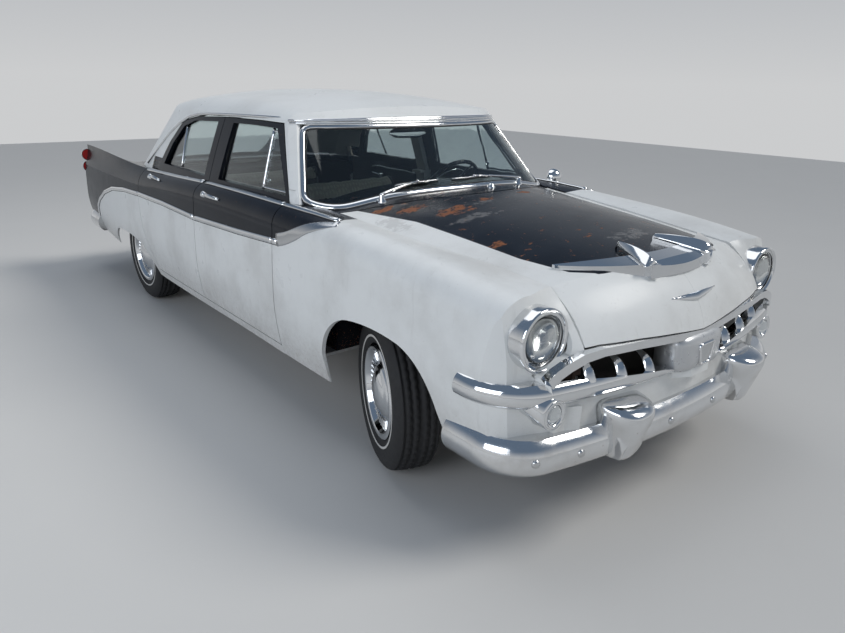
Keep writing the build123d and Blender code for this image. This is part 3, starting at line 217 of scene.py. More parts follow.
def paint(name, black=None, inside=None, wear=1.0):
    """Old two-tone paint: white, black by a mask, with dirt, faded places and rust. A door's
    inner face is trim, and the roof's is headliner."""
    g = Graph(name)
    x, y, z = g.xyz.outputs
    fine = g.noise(38, 4, 0.6, shift=(3, 1, 2))
    speck = g.noise(140, 2, 0.5, shift=(7, 0, 1))
    low = g.minus(1.0, g.smooth(z, 0.30, 0.62))
    dirt = g.times(g.smooth(g.noise(2.2, 6, 0.62), 0.42, 0.72), 0.20 * wear)
    dirt = g.plus(dirt, g.times(low, g.level(fine, 0.0, 0.5)), True)
    streak = g.noise(26, 3, 0.6, stretch=(1, 1, 0.12))
    dirt = g.plus(dirt, g.times(g.smooth(streak, 0.60, 0.80), 0.10), True)
    fade = g.smooth(g.noise(5.0, 5, 0.6, shift=(1, 5, 3)), 0.40, 0.75)
    dark = g.mix(g.times(fade, 0.4), BLACK, FADED_BLACK)
    dark = g.mix(g.times(dirt, 0.05), dark, GRIME)
    mask = 1.0 if black == "all" else 0.0
    if black == "side":
        mask = g.smooth(g.minus(z, g.curve(y, PAINT_EDGE, 0.2, 1.6)), -MASK_EDGE, MASK_EDGE)
    elif black == "bonnet":
        half = g.curve(y, BONNET_BLACK, 0.0, 0.8)
        mask = g.smooth(g.minus(half, g.math("ABSOLUTE", x)), -MASK_EDGE, MASK_EDGE)
    colour = g.mix(mask, g.mix(dirt, WHITE, GRIME), dark)
    spots = g.smooth(g.noise(7.5, 6, 0.7, shift=(2, 9, 4)), 0.685, 0.74)
    chips = g.smooth(g.plus(speck, g.times(low, 0.12)), 0.735, 0.76)
    rust = g.most(g.times(spots, g.smooth(fine, 0.40, 0.55)), chips)
    rust = g.times(rust, g.level(mask, 0.25, 1.0))
    if black in ("bonnet", "all"):
        torn = g.noise(17, 8, 0.74, stretch=(1, 1.6, 1))
        patches = g.plus(g.ovals(x, y, RUST_PATCHES), g.level(torn, -2.6, 2.6))
        scuffs = g.plus(g.ovals(x, y, SCUFFS), g.level(torn, -2.2, 2.2))
        colour = g.mix(g.times(g.smooth(scuffs, 0.55, 1.10), 0.35), colour, SCUFF)
        rust = g.most(rust, g.times(g.smooth(patches, 0.62, 0.80), mask))
    colour = g.mix(g.times(rust, 0.9), colour, g.mix(fine, DARK_RUST, LIGHT_RUST))
    shine = g.minus(g.level(g.noise(9, 5, 0.6), 0.20, 0.42), g.times(mask, 0.10))
    shine = g.plus(shine, g.times(rust, 0.4), True)
    if inside:
        normal = g.coord.outputs["Normal"]
        if inside == "door":
            split = g.node("ShaderNodeSeparateXYZ")
            g.link(normal, split.inputs[0])
            out = g.times(split.outputs[0], g.math("SIGN", x))
        else:
            place = g.node("ShaderNodeVectorMath", operation="SUBTRACT")
            g.link(g.coord.outputs["Object"], place.inputs[0])
            place.inputs[1].default_value = CABIN_MIDDLE
            dot = g.node("ShaderNodeVectorMath", operation="DOT_PRODUCT")
            g.link(place.outputs[0], dot.inputs[0])
            g.link(normal, dot.inputs[1])
            out = dot.outputs["Value"]
        within = g.minus(1.0, g.smooth(out, -0.35, -0.25))
        lining = TRIM_GREY if inside == "door" else HEADLINER
        woven = g.mix(g.times(speck, 0.5), lining, tuple(c * 0.6 for c in lining))
        colour = g.mix(within, colour, woven)
        shine = g.most(shine, g.times(within, 0.85))
    g.bump(g.noise(55, 3, 0.5), 0.04, 0.002)
    return g.set(
        Base_Color=colour, Roughness=shine, IOR=1.37, Specular_IOR_Level=0.30,
        Coat_Weight=0.03, Coat_Roughness=0.12,
    )


def chrome(name, colour=(0.78, 0.79, 0.80), rough=0.07, age=0.5):
    """Bright metal with haze and rusty pits."""
    g = Graph(name)
    pits = g.smooth(g.noise(120, 3, 0.6), 0.70, 0.76)
    haze = g.smooth(g.noise(6, 5, 0.65, shift=(4, 2, 0)), 0.45, 0.80)
    tint = g.mix(g.times(haze, 0.35 * age), colour, (0.42, 0.38, 0.33))
    tint = g.mix(g.times(pits, 0.7 * age), tint, RUST)
    rough_value = g.plus(g.level(haze, rough, rough + 0.18 * age), g.times(pits, 0.4 * age), True)
    g.bump(g.noise(40, 4, 0.6), 0.02, 0.002)
    return g.set(Base_Color=tint, Metallic=1.0, Roughness=rough_value)


def plain(name, colour, rough=0.6, metal=0.0, scale=30.0, vary=0.35, bump=0.08):
    """A surface with mottled colour and a fine grain."""
    g = Graph(name)
    tint = g.mix(g.times(g.noise(scale, 5, 0.6), vary), colour, tuple(c * 0.45 for c in colour))
    grain = g.noise(scale * 2.5, 3, 0.5, shift=(2, 2, 2))
    g.bump(g.noise(scale * 6, 3, 0.5), bump, 0.002)
    roughness = g.level(grain, rough - 0.1, rough + 0.1)
    return g.set(Base_Color=tint, Roughness=roughness, Metallic=metal)


def glass(name, tint=(0.80, 0.88, 0.88), rough=0.02):
    """Clear glass with a thin film of dust."""
    g = Graph(name)
    film = g.smooth(g.noise(7, 5, 0.65), 0.5, 0.85)
    return g.set(
        Base_Color=g.mix(g.times(film, 0.25), tint, (0.62, 0.64, 0.60)),
        Roughness=g.level(film, rough, rough + 0.06), Transmission_Weight=1.0, IOR=1.45,
    )


def cloth(name, colour, thread=0.0022):
    """Woven seat cloth, worn and stained."""
    g = Graph(name)
    waves = []
    for axis in ("X", "Y"):
        wave = g.node("ShaderNodeTexWave", bands_direction=axis)
        g.link(g.coord.outputs["Object"], wave.inputs["Vector"])
        wave.inputs["Scale"].default_value = 1 / (thread * 20)
        wave.inputs["Distortion"].default_value = 0.6
        waves.append(wave.outputs["Fac"])
    weave = g.times(*waves)
    stain = g.smooth(g.noise(4.5, 5, 0.6), 0.45, 0.75)
    tint = g.mix(weave, tuple(c * 0.7 for c in colour), colour)
    tint = g.mix(g.times(stain, 0.5), tint, tuple(c * 0.5 for c in colour))
    g.bump(weave, 0.25, 0.0015)
    return g.set(Base_Color=tint, Roughness=0.85, Sheen_Weight=0.25)


M = {
    "side": paint("side_paint", "side"),
    "door": paint("door_paint", "side", inside="door"),
    "bonnet": paint("bonnet_paint", "bonnet"),
    "cowl": paint("cowl_paint", "all"),
    "roof": paint("roof_paint", None, inside="roof", wear=0.5),
    "white": paint("nose_paint", None, wear=1.6),
    "silver": plain("silver_paint", (0.62, 0.63, 0.64), 0.30, 0.6, scale=16, vary=0.25),
    "chrome": chrome("bright_chrome"),
    "old_chrome": chrome("aged_chrome", rough=0.12, age=1.0),
    "steel": chrome("brushed_steel", (0.60, 0.61, 0.62), rough=0.22, age=0.6),
    "glass": glass("window_glass"),
    "lamp_glass": glass("lamp_glass", (0.92, 0.95, 0.96), 0.05),
    "chassis": plain("chassis_black", (0.035, 0.030, 0.026), 0.75, scale=9, vary=0.7),
    "engine": plain("engine_iron", (0.16, 0.10, 0.08), 0.6, 0.3, scale=12, vary=0.6),
    "exhaust": plain("exhaust_rust", (0.25, 0.14, 0.09), 0.8, 0.4, scale=14, vary=0.8),
    "dash": plain("dash_paint", (0.035, 0.036, 0.040), 0.35, scale=6, vary=0.4),
    "carpet": plain("carpet", (0.06, 0.055, 0.05), 0.95, scale=60, vary=0.6, bump=0.4),
    "seat": cloth("seat_cloth", (0.19, 0.18, 0.17)),
    "seat_dark": cloth("seat_vinyl", (0.11, 0.105, 0.10), 0.004),
    "seat_band": cloth("seat_band", (0.55, 0.51, 0.43), 0.004),
    "rubber": plain("black_rubber", (0.022, 0.022, 0.023), 0.75, scale=18, vary=0.5, bump=0.15),
    "stripe": plain("white_stripe", (0.62, 0.61, 0.58), 0.6, scale=14, vary=0.3),
    "red": plain("red_lens", (0.42, 0.02, 0.02), 0.15, scale=90, vary=0.25),
    "plastic": plain("black_plastic", (0.02, 0.02, 0.022), 0.25, scale=12, vary=0.3),
    "ivory": plain("dial_ivory", (0.60, 0.57, 0.48), 0.4, scale=20, vary=0.2),
    "reflector": plain("lamp_reflector", (0.75, 0.75, 0.74), 0.12, 1.0, scale=40, vary=0.15),
}
WHEEL_ENDS = [f"{end}_{name}" for _, name in SIDES for end in ENDS]
DOORS = [f"{end}_{name}_door" for end in ENDS for _, name in SIDES]
NODES_OF = {
    "roof": ["roof"], "bonnet": ["bonnet"], "cowl": ["cowl"], "engine": ["engine"],
    "exhaust": ["exhaust"], "carpet": ["parcel_shelf"], "plastic": ["steering_wheel"],
    "red": ["tail_lamps"], "door": DOORS, "rubber": [f"{place}_tyre" for place in WHEEL_ENDS],
    "glass": ["windscreen", "rear_screen", *[f"{door}_glass" for door in DOORS]],
    "side": ["front_wings", "rear_body", "floor_pan"],
    "white": ["nose_panel", "boot_lid"],
    "chrome": ["grille", "bonnet_ornament", *[f"{place}_wheel" for place in WHEEL_ENDS]],
    "old_chrome": ["headlamps", "parking_lamps", "front_bumper", "rear_bumper"],
    "lamp_glass": ["headlamp_lenses", "parking_lenses"],
    "dash": ["dashboard", "steering_column"],
    "seat": ["front_seat", "rear_seat"],
    "chassis": [
        "frame", "wheelhouses", "radiator", "fuel_tank", "front_suspension", "rear_axle",
        "left_knuckle", "right_knuckle",
    ],
}
for key, names in NODES_OF.items():
    for name in names:
        nodes[name].data.materials.clear()
        nodes[name].data.materials.append(M[key])


# Places on the body
def tree_of(names):
    points, faces = [], []
    for name in names:
        mesh = nodes[name].data
        base = len(points)
        points += [v.co.copy() for v in mesh.vertices]
        faces += [[base + i for i in p.vertices] for p in mesh.polygons]
    return BVHTree.FromPolygons(points, faces)


SKIN = tree_of(["front_wings", "rear_body", "bonnet", "boot_lid", "cowl", "roof", *DOORS])
GLASS = tree_of(["windscreen", "rear_screen"])
PANES = tree_of([f"{door}_glass" for door in DOORS])
FRONT = tree_of(["nose_panel", "bonnet", "grille", "front_bumper"])
REAR = tree_of(["rear_bumper", "boot_lid", "rear_body"])
POSTS = tree_of(["roof"])
ORNAMENT = tree_of(["bonnet_ornament"])
INSIDE = tree_of(DOORS)
FAR_SIDE, FAR_END, FAR_UP = 1.4, 3.0, 2.0


def hit(start, direction, tree=SKIN):
    """Where a line meets the body, and the surface's normal there, turned to the line."""
    place, normal, _, _ = tree.ray_cast(Vector(start), Vector(direction).normalized())
    if place is None:
        return None
    if normal.dot(Vector(direction)) > 0:
        normal = -normal
    return place, normal


def side_at(y, z, side, tree=SKIN):
    return hit((side * FAR_SIDE, y, z), (-side, 0, 0), tree)


def end_at(end, x, z, tree=SKIN):
    """Looked at from in front of the car, where end is -1, or from behind it, where end is 1."""
    return hit((x, end * FAR_END, z), (0, -end, 0), tree)


def top_at(x, y, tree=SKIN):
    return hit((x, y, FAR_UP), (0, 0, -1), tree)


def shoulder_at(y, x, z, side, lean=0.8):
    """The body's surface near a place on its upper edge, looked at from outside and above."""
    out = Vector((side, 0, lean)).normalized()
    return hit(Vector((side * x, y, z)) + out * 0.3, -out)


# Pieces
def new_mesh(name, points, faces, material, smooth=True):
    mesh = bpy.data.meshes.new(name)
    mesh.from_pydata([tuple(p) for p in points], [], faces)
    mesh.validate()
    mesh.materials.append(M[material])
    outwards(mesh)
    for face in mesh.polygons:
        face.use_smooth = smooth
    made = bpy.data.objects.new(name, mesh)
    bpy.context.scene.collection.objects.link(made)
    return made


def outwards(mesh, merge=None):
    """Turn every face outwards, after points that share a place are merged."""
    work = bmesh.new()
    work.from_mesh(mesh)
    if merge:
        bmesh.ops.remove_doubles(work, verts=work.verts, dist=merge)
    bmesh.ops.recalc_face_normals(work, faces=work.faces)
    work.to_mesh(mesh)
    work.free()


def done(piece, body):
    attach(piece, body)
    return piece


def strips(rings, size, round_rings=False, round_rows=True):
    """Faces between each ring of points and the next."""
    faces = []
    for i in range(rings if round_rings else rings - 1):
        j = (i + 1) % rings
        for k in range(size if round_rows else size - 1):
            m = (k + 1) % size
            faces.append((i * size + k, i * size + m, j * size + m, j * size + k))
    return faces


def caps(rings, size):
    return [tuple(range(size)), tuple((rings - 1) * size + k for k in range(size))]


def swept(path, section, closed=False):
    """Points and faces of a section carried along a path. Path rows: place, outward normal, or
    place, normal and a scale. Section rows: across, outwards."""
    points, count, size = [], len(path), len(section)
    for i, row in enumerate(path):
        place, normal = Vector(row[0]), Vector(row[1]).normalized()
        scale = row[2] if len(row) > 2 else 1.0
        before = Vector(path[i - 1][0]) if i or closed else place
        after = Vector(path[(i + 1) % count][0]) if i + 1 < count or closed else place
        along = (after - before).normalized()
        across = along.cross(normal).normalized()
        out = across.cross(along).normalized()
        points += [place + across * a * scale + out * b * scale for a, b in section]
    faces = strips(count, size, closed)
    return points, faces if closed else faces + caps(count, size)


def half_round(width, height, sink=0.002, steps=8):
    turns = [math.pi * t for t in shares(steps)]
    rows = [(math.cos(a) * width / 2, math.sin(a) * height) for a in turns]
    return [(width / 2, -sink), *rows[1:-1], (-width / 2, -sink)]


def oval(radius, steps=12, wide=1.0, high=1.0):
    turns = [math.tau * k / steps for k in range(steps)]
    return [(math.cos(a) * radius * wide, math.sin(a) * radius * high) for a in turns]


def rail(name, path, section, material="chrome", body="body", closed=False):
    return done(new_mesh(name, *swept(path, section, closed), material), body)


def ringed(name, rings, material="chrome", body="body", smooth=True):
    """A closed form through rings of points, its two ends shut."""
    count, size = len(rings), len(rings[0])
    points = [point for ring in rings for point in ring]
    faces = caps(count, size) + strips(count, size)
    return done(new_mesh(name, points, faces, material, smooth), body)


def around(axis, angle):
    """The way out from an axis, turned about it from straight up."""
    first = (UP - axis * UP.dot(axis)).normalized()
    return first * math.cos(angle) + axis.cross(first) * math.sin(angle)


def turned(
    name, profile, centre, axis, steps=48, material="chrome", body="body", slot="bright_trim",
):
    """A form turned about an axis. Profile rows: distance along the axis, radius."""
    axis = Vector(axis).normalized()
    points = []
    for k in range(steps):
        out = around(axis, math.tau * k / steps)
        points += [Vector(centre) + axis * a + out * r for a, r in profile]
    made = new_mesh(name, points, strips(steps, len(profile), True, False), material)
    outwards(made.data, 1e-5)
    return done(made, body)


def sampled(points, step):
    """Points along a polyline, evenly, with its corners kept."""
    result = []
    for a, b in zip(points, points[1:]):
        a, b = Vector(a), Vector(b)
        count = max(1, round((b - a).length / step))
        result += [a.lerp(b, k / count) for k in range(count)]
    return result + [Vector(points[-1])]


def rounded(path, closed, passes=3):
    """A path with its corners eased, row by row."""
    rows = [(Vector(p), Vector(n)) for p, n in path]
    for _ in range(passes):
        count = len(rows)
        eased = []
        for i, (place, normal) in enumerate(rows):
            if not closed and i in (0, count - 1):
                eased.append((place, normal))
                continue
            before, after = rows[i - 1], rows[(i + 1) % count]
            eased.append((
                (before[0] + place * 2 + after[0]) / 4,
                (before[1] + normal * 2 + after[1]).normalized(),
            ))
        rows = eased
    return rows


def mirrored(path):
    """The other side's half of a path, in the order that carries the path on."""
    return [(Vector((-p.x, p.y, p.z)), Vector((-n.x, n.y, n.z))) for p, n in reversed(path)]


# Side mouldings, cut at the panels' edges
PANELS = [
    ("front_wing", "body", -2.6, -0.9635),
    ("front_door", "front_{}_door", -0.9565, -0.0045),
    ("rear_door", "rear_{}_door", 0.0045, 0.9965),
    ("rear_quarter", "body", 1.0035, 2.7),
]
BELT_LINE = [(-1.400, 1.055), (-0.900, 1.045), (-0.088, 1.037), (0.438, 1.018), (0.990, 1.000)]
BELT_X, FLASH_X = 0.850, 0.895
# Moulding width, and the height of the dark rubber strip under each moulding, which is partly a
# rubber seat and partly a painted shadow line
MOULDING_WIDE, MOULDING_RUBBER_AND_SHADOW_HIGH = 0.030, 0.003
FLASH_WIDE, FLASH_HIGH, FLASH_TAPER = 0.066, 0.007, 0.40


def clipped(line, low, high):
    """The part of a (y, z) line between two values of y."""
    result = []
    for (y0, z0), (y1, z1) in zip(line, line[1:]):
        for t in shares(12):
            y, z = y0 + (y1 - y0) * t, z0 + (z1 - z0) * t
            fresh = not result or abs(result[-1][0] - y) + abs(result[-1][1] - z) > 1e-6
            if low <= y <= high and fresh:
                result.append((y, z))
    if len(result) > 1:
        for y_end, at_start in ((low, True), (high, False)):
            for (y0, z0), (y1, z1) in zip(line, line[1:]):
                if y0 < y_end < y1:
                    z_end = z0 + (z1 - z0) * (y_end - y0) / (y1 - y0)
                    result.insert(0 if at_start else len(result), (y_end, z_end))
    return result


def belt_at(y, z, side):
    return shoulder_at(y, BELT_X, z, side)


# Line, how its places are found, the moulding's height, the width of the dark rubber strip under
# it, which also stands in for the moulding's edge shadow as painted shade
MOULDINGS = {
    "spear": (SPEAR_LINE, side_at, 0.009, 0.037),
    "belt": (BELT_LINE, belt_at, 0.010, 0.036),
}
for side, side_name in SIDES:
    for part, body, low, high in PANELS:
        body = body.format(side_name)
        for kind, (line, place, tall, seat) in MOULDINGS.items():
            line = clipped(line, low, high)
            path = [p for p in (place(y, z, side) for y, z in line) if p]
            if len(path) > 1:
                name = f"{part}_{side_name}_{kind}"
                rail(name, path, half_round(MOULDING_WIDE, tall), body=body)
                # A dark rubber strip, a little wider than the moulding: partly a real rubber seat,
                # partly a painted shadow line along the moulding's edges
                rail(f"{name}_seat", path, half_round(seat, MOULDING_RUBBER_AND_SHADOW_HIGH), "rubber", body)
    rows = sampled([(0, *p) for p in FLASH_LINE], 0.02)
    path = [shoulder_at(p.y, FLASH_X, p.z, side, 0.35) for p in rows]
    path = rounded([p for p in path if p], False, 5)
    path = [(*row, 1.0 - FLASH_TAPER * i / len(path)) for i, row in enumerate(path)]
    rail(f"front_wing_{side_name}_flash", path, half_round(FLASH_WIDE, FLASH_HIGH), "steel")

# Door handles: where they begin and end along Y, and their height
HANDLES = (("front", -0.350, -0.150, 0.985), ("rear", 0.590, 0.790, 0.972))
PUSH_BUTTON = [(-0.004, 0.016), (0.018, 0.016), (0.021, 0.012), (0.022, 0.0)]
for side, side_name in SIDES:
    for end, y0, y1, z in HANDLES:
        body = f"{end}_{side_name}_door"
        grip = []
        for t in shares(12):
            place, normal = side_at(between(y0, y1, t), z, side)
            lift = 0.004 + 0.022 * math.sin(math.pi * min(1, t * 1.15)) ** 0.6
            grip.append((place + normal * lift, normal, 0.8 + 0.3 * math.sin(math.pi * t)))
        rail(f"{body}_handle", grip, oval(0.011, 10, 0.9, 0.5), body=body)
        place, normal = side_at(y1 - 0.004, z, side)
        turned(f"{body}_handle_push", PUSH_BUTTON, place, normal, 24, body=body)

# Wheels. Half the tyre's outer profile, from the rim to the tread's middle: distance along the
# axle, radius
TYRE = [
    (0.078, 0.206), (0.084, 0.214), (0.0905, 0.2345), (0.0935, 0.2362), (0.0950, 0.2440),
    (0.0935, 0.2462), (0.0965, 0.266), (0.0975, 0.285), (0.0945, 0.305), (0.0860, 0.323),
    (0.0760, 0.3345), (0.0700, 0.3385), (0.0690, 0.3320), (0.0610, 0.3325), (0.0600, 0.3405),
    (0.0400, 0.3425), (0.0390, 0.3345), (0.0310, 0.3350), (0.0300, 0.3430),
    (0.0100, 0.3445), (0.0090, 0.3360), (0.0, 0.3360),
]
STRIPE_ROWS = (3, 4)
TREAD_STEPS, TREAD_RADIUS, TREAD_EDGE, TREAD_CUT = 168, 0.3400, 0.005, 0.006
COVER = [
    (0.086, 0.209), (0.0885, 0.205), (0.0885, 0.198), (0.083, 0.190), (0.076, 0.178),
    (0.071, 0.176), (0.0665, 0.172), (0.0640, 0.150), (0.0615, 0.128), (0.0650, 0.118),
    (0.0730, 0.112), (0.0785, 0.104), (0.0800, 0.094), (0.0860, 0.084), (0.0935, 0.070),
    (0.0990, 0.050), (0.1020, 0.028), (0.1035, 0.010), (0.1035, 0.0),
]
# One rib of the cover: turn about the axle, radius, distance along the axle
RIB = (
    (-0.040, 0.130, 0.0625), (0.040, 0.130, 0.0625), (0.034, 0.168, 0.0672),
    (-0.034, 0.168, 0.0672), (-0.018, 0.134, 0.0685), (0.018, 0.134, 0.0685),
    (0.015, 0.164, 0.0725), (-0.015, 0.164, 0.0725),
)
RIB_FACES = ((4, 5, 6, 7), (0, 1, 5, 4), (1, 2, 6, 5), (2, 3, 7, 6), (3, 0, 4, 7))
RIBS = 40


def build_tyre(name, centre, axis, body):
    profile = TYRE + [(-a, r) for a, r in reversed(TYRE[:-1])]
    points = []
    for k in range(TREAD_STEPS):
        out = around(axis, math.tau * k / TREAD_STEPS)
        for a, r in profile:
            tread = r > TREAD_RADIUS and abs(a) > TREAD_EDGE
            cut = TREAD_CUT if tread and k % 3 == 0 else 0.0
            points.append(centre + axis * a + out * (r - cut))
    made = new_mesh(name, points, strips(TREAD_STEPS, len(profile), True, False), "rubber")
    made.data.materials.append(M["stripe"])
    for n, face in enumerate(made.data.polygons):
        face.material_index = 1 if n % (len(profile) - 1) in STRIPE_ROWS else 0
    return done(made, body)


for side, side_name in SIDES:
    for end in ENDS:
        place = f"{end}_{side_name}"
        body = f"{place}_wheel"
        joint = next(joint for joint in frame["joints"] if joint["child"] == body)
        centre, axis = Vector(joint["pos_m"]), Vector(joint["axis"]).normalized()
        if axis.x * side < 0:
            axis = -axis
        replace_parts(build_tyre(f"{place}_tread", centre, axis, body), f"{place}_tyre")
        turned(f"{place}_cover", COVER, centre, axis, 96, body=body, slot="wheel_cover_metal")
        points, faces = [], []
        for k in range(RIBS):
            for turn, r, a in RIB:
                out = around(axis, math.tau * k / RIBS + turn)
                points.append(centre + axis * a + out * r)
            faces += [tuple(k * len(RIB) + i for i in face) for face in RIB_FACES]
        ribs = new_mesh(f"{place}_cover_ribs", points, faces, "steel", False)
        done(ribs, body)


# Lamps. Rows: lamp, part, steps round, material, slot, profile
LAMPS = {"headlamp": Vector((0.738, -2.492, 0.811)), "parking": Vector((0.724, -2.548, 0.562))}
LAMP_PARTS = [
    ("headlamp", "bezel", 64, "chrome", "bright_trim", [
        (-0.010, 0.1125), (0.0, 0.1130), (0.006, 0.1105), (0.008, 0.106), (0.003, 0.101),
        (-0.006, 0.0985), (-0.014, 0.0965), (-0.018, 0.092),
    ]),
    ("headlamp", "ring", 64, "steel", "bright_trim", [
        (-0.020, 0.096), (-0.010, 0.0955), (-0.006, 0.0925), (-0.008, 0.0895), (-0.018, 0.0885),
    ]),
    ("headlamp", "lens", 64, "lamp_glass", "lamp_glass", [
        (-0.012, 0.0885), (-0.008, 0.082), (-0.002, 0.070), (0.003, 0.050), (0.006, 0.025),
        (0.007, 0.0),
    ]),
    ("headlamp", "reflector", 48, "reflector", "bright_trim", [
        (-0.014, 0.088), (-0.026, 0.080), (-0.034, 0.060), (-0.0365, 0.030), (-0.0365, 0.0),
    ]),
    ("parking", "bezel", 48, "chrome", "bright_trim", [
        (-0.014, 0.0525), (-0.002, 0.0530), (0.004, 0.0505), (0.005, 0.046), (0.000, 0.040),
        (-0.010, 0.036),
    ]),
    ("parking", "lens", 40, "lamp_glass", "lamp_glass", [
        (-0.010, 0.036), (0.0, 0.034), (0.006, 0.026), (0.010, 0.012), (0.0105, 0.0),
    ]),
]
for side, side_name in SIDES:
    for lamp, part, steps, material, slot, profile in LAMP_PARTS:
        x, y, z = LAMPS[lamp]
        name = f"{lamp}_{side_name}_{part}"
        made = turned(name, profile, (side * x, y, z), FORWARD, steps, material, slot=slot)
        if part == "lens":
            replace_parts(made, f"{lamp}_lenses")

# Parking lamps' sleeves, which come down out of the bar behind them: y, height and radius
SLEEVE = [
    (-2.440, 0.602, 0.054), (-2.450, 0.602, 0.060), (-2.490, 0.592, 0.063), (-2.525, 0.576, 0.062),
    (-2.545, 0.566, 0.0585), (-2.551, 0.562, 0.055), (-2.551, 0.562, 0.052), (-2.500, 0.562, 0.050),
]
SLEEVE_LEAN = 0.30
for side, side_name in SIDES:
    rings = []
    for y, z, r in SLEEVE:
        x = LAMPS["parking"].x + SLEEVE_LEAN * (y - LAMPS["parking"].y)
        rings.append([(side * (x + a), y, z + b) for a, b in oval(r, 40)])
    ringed(f"parking_{side_name}_sleeve", rings)

# Windscreen and rear window mouldings: which end, y and z of the side edge's foot and top, and the
# height of the upper edge
SCREENS = {
    "windscreen": (-1, (-1.025, 1.042), (-0.776, 1.392), 1.384),
    "rear_screen": (1, (1.430, 1.050), (1.010, 1.372), 1.364),
}
SCREEN_HALF, REVEAL_GAP, DECK_TOP = 0.80, 0.006, 1.3


def screen_point(end, x, z):
    """Where a level line from in front of the car, or from behind it, meets a screen."""
    found = end_at(end, x, z, GLASS)
    return found if found and found[0].y * end > 0 else None


def screen_foot(end, x, in_sight=False):
    """The lowest part of a screen that stands clear of the body under it, or that shows from
    level with it."""
    for step in range(90):
        z = 1.0 + step * 0.0025
        found = screen_point(end, x, z)
        if found is None:
            continue
        if in_sight:
            body = end_at(end, x, z)
            clear = body is None or abs(body[0].y) < abs(found[0].y)
        else:
            under = top_at(x, found[0].y + end * 2 * REVEAL_GAP)
            clear = under is None or under[0].z < found[0].z or under[0].z > DECK_TOP
        if clear:
            return found
    return None


def screen_rim(end, low, high, top_z):
    """The outline of a screen's visible glass, from its foot on the right and round."""
    def edge_y(z):
        return between(low[0], high[0], (z - low[1]) / (high[1] - low[1])) + end * REVEAL_GAP

    foot = []
    for t in shares(64):
        x = between(-SCREEN_HALF, SCREEN_HALF, t)
        feet = [f for f in (screen_foot(end, x), screen_foot(end, x, True)) if f]
        found = max(feet, key=lambda row: row[0].z) if feet else None
        if found and (found[0].y - edge_y(found[0].z)) * end > 0:
            foot.append((found[0] + UP * REVEAL_GAP, found[1]))
    start_z = foot[-1][0].z + 0.010
    heights = [between(start_z, top_z, t) for t in shares(18)]
    rise = [f for f in (side_at(edge_y(z), z, 1, GLASS) for z in heights) if f]
    reach = rise[-1][0].x
    count = round(reach / 0.025)
    top = [screen_point(end, reach * (1 - k / count), top_z) for k in range(1, 2 * count)]
    return rounded(foot + rise + [t for t in top if t] + mirrored(rise), True, 3)


for screen, edges in SCREENS.items():
    path = screen_rim(*edges)
    rail(f"{screen}_reveal", path, half_round(0.030, 0.009), closed=True)
    path = [(p - n * 0.0005, n) for p, n in path]
    rail(f"{screen}_gasket", path, half_round(0.044, 0.004), "rubber", closed=True)

# Rain gutters round the roof, with the header over the windscreen
GUTTER_SIDE = [
    (1.080, 1.030), (0.940, 1.150), (0.794, 1.258), (0.640, 1.335), (0.500, 1.374),
    (0.402, 1.388), (0.230, 1.394), (0.059, 1.400), (-0.230, 1.408), (-0.535, 1.414),
    (-0.680, 1.4135),
]
GUTTER_FRONT_X, GUTTER_FRONT_Z, HEADER_HALF = 0.655, (1.410, 1.416), 0.69
gutter = [side_at(y, z, 1) for y, z in GUTTER_SIDE]
front = [end_at(-1, GUTTER_FRONT_X * (1 - t), between(*GUTTER_FRONT_Z, t)) for t in shares(12)]
gutter += [f for f in front if f]
gutter = rounded(gutter + mirrored(gutter[:-1]), False, 2)
rail("roof_gutter", gutter, half_round(0.017, 0.011))
for name, z, wide, high in (("low", 1.3965, 0.010, 0.005), ("high", 1.4065, 0.014, 0.009)):
    header = [end_at(-1, between(-HEADER_HALF, HEADER_HALF, t), z) for t in shares(40)]
    header = [f for f in header if f and f[0].y < -0.6]
    rail(f"windscreen_header_{name}", rounded(header, False, 1), half_round(wide, high))

# Quarter-light frames and window bars, as y and z
VENT_FRAME = [(-0.885, 1.082), (-0.664, 1.350), (-0.610, 1.350), (-0.636, 1.078)]
VENT_BAR = [(-0.634, 1.070), (-0.606, 1.362)]
VENT_CATCH = [(-0.650, 1.115), (-0.640, 1.130)]
REAR_BAR = [(0.487, 1.064), (0.534, 1.308)]
CATCH = [(-0.022, 0.009), (-0.016, 0.013), (-0.008, 0.011), (-0.004, 0.006)]


def on_pane(line, side, closed=False):
    rows = sampled([(0, *p) for p in (line + line[:1] if closed else line)], 0.03)
    found = [side_at(p.y, p.z, side, PANES) for p in rows]
    return [f for f in (found[:-1] if closed else found) if f]


for side, side_name in SIDES:
    body = f"front_{side_name}_door"
    frame_path = on_pane(VENT_FRAME, side, True)
    rail(f"{body}_vent_frame", frame_path, half_round(0.012, 0.006), body=body, closed=True)
    rail(f"{body}_vent_bar", on_pane(VENT_BAR, side), half_round(0.018, 0.010), body=body)
    turned(f"{body}_vent_catch", CATCH, *on_pane(VENT_CATCH, side)[0], 20, body=body)
    body = f"rear_{side_name}_door"
    rail(f"{body}_window_bar", on_pane(REAR_BAR, side), half_round(0.018, 0.010), body=body)

# Corner panels at the side windows' lower ends, behind the windscreen post and ahead of the roof's
# rear post. Rows: end, where the scan begins, its way along Y, lowest and highest z, body,
# material, slot
CORNERS = (
    ("front", -1.000, 1, 1.050, 1.104, "body", "white", "roof_paint"),
    ("rear", 1.005, -1, 1.007, 1.083, "rear_{}_door", "cowl", "door_paint"),
)
SAME_POST, FRAME_X, CORNER_THICK, CORNER_GAP, CORNER_LAP = 0.006, 0.74, 0.006, 0.006, -0.003


def corner_row(door_tree, y, way, z, side):
    """At one height: where the post ends, and where the door's frame begins."""
    post, skin = None, None
    for step in range(195):
        at = y + way * 0.001 * step
        found = side_at(at, z, side, POSTS)
        found = found if found and (skin is None or abs(found[0].x - skin) < SAME_POST) else None
        if post is None or found:
            post = found[0] if found else post
            skin = post.x if post and skin is None else skin
            continue
        door = side_at(at, z, side, door_tree)
        if door and abs(door[0].x) > FRAME_X:
            return post, door[0]
    return None


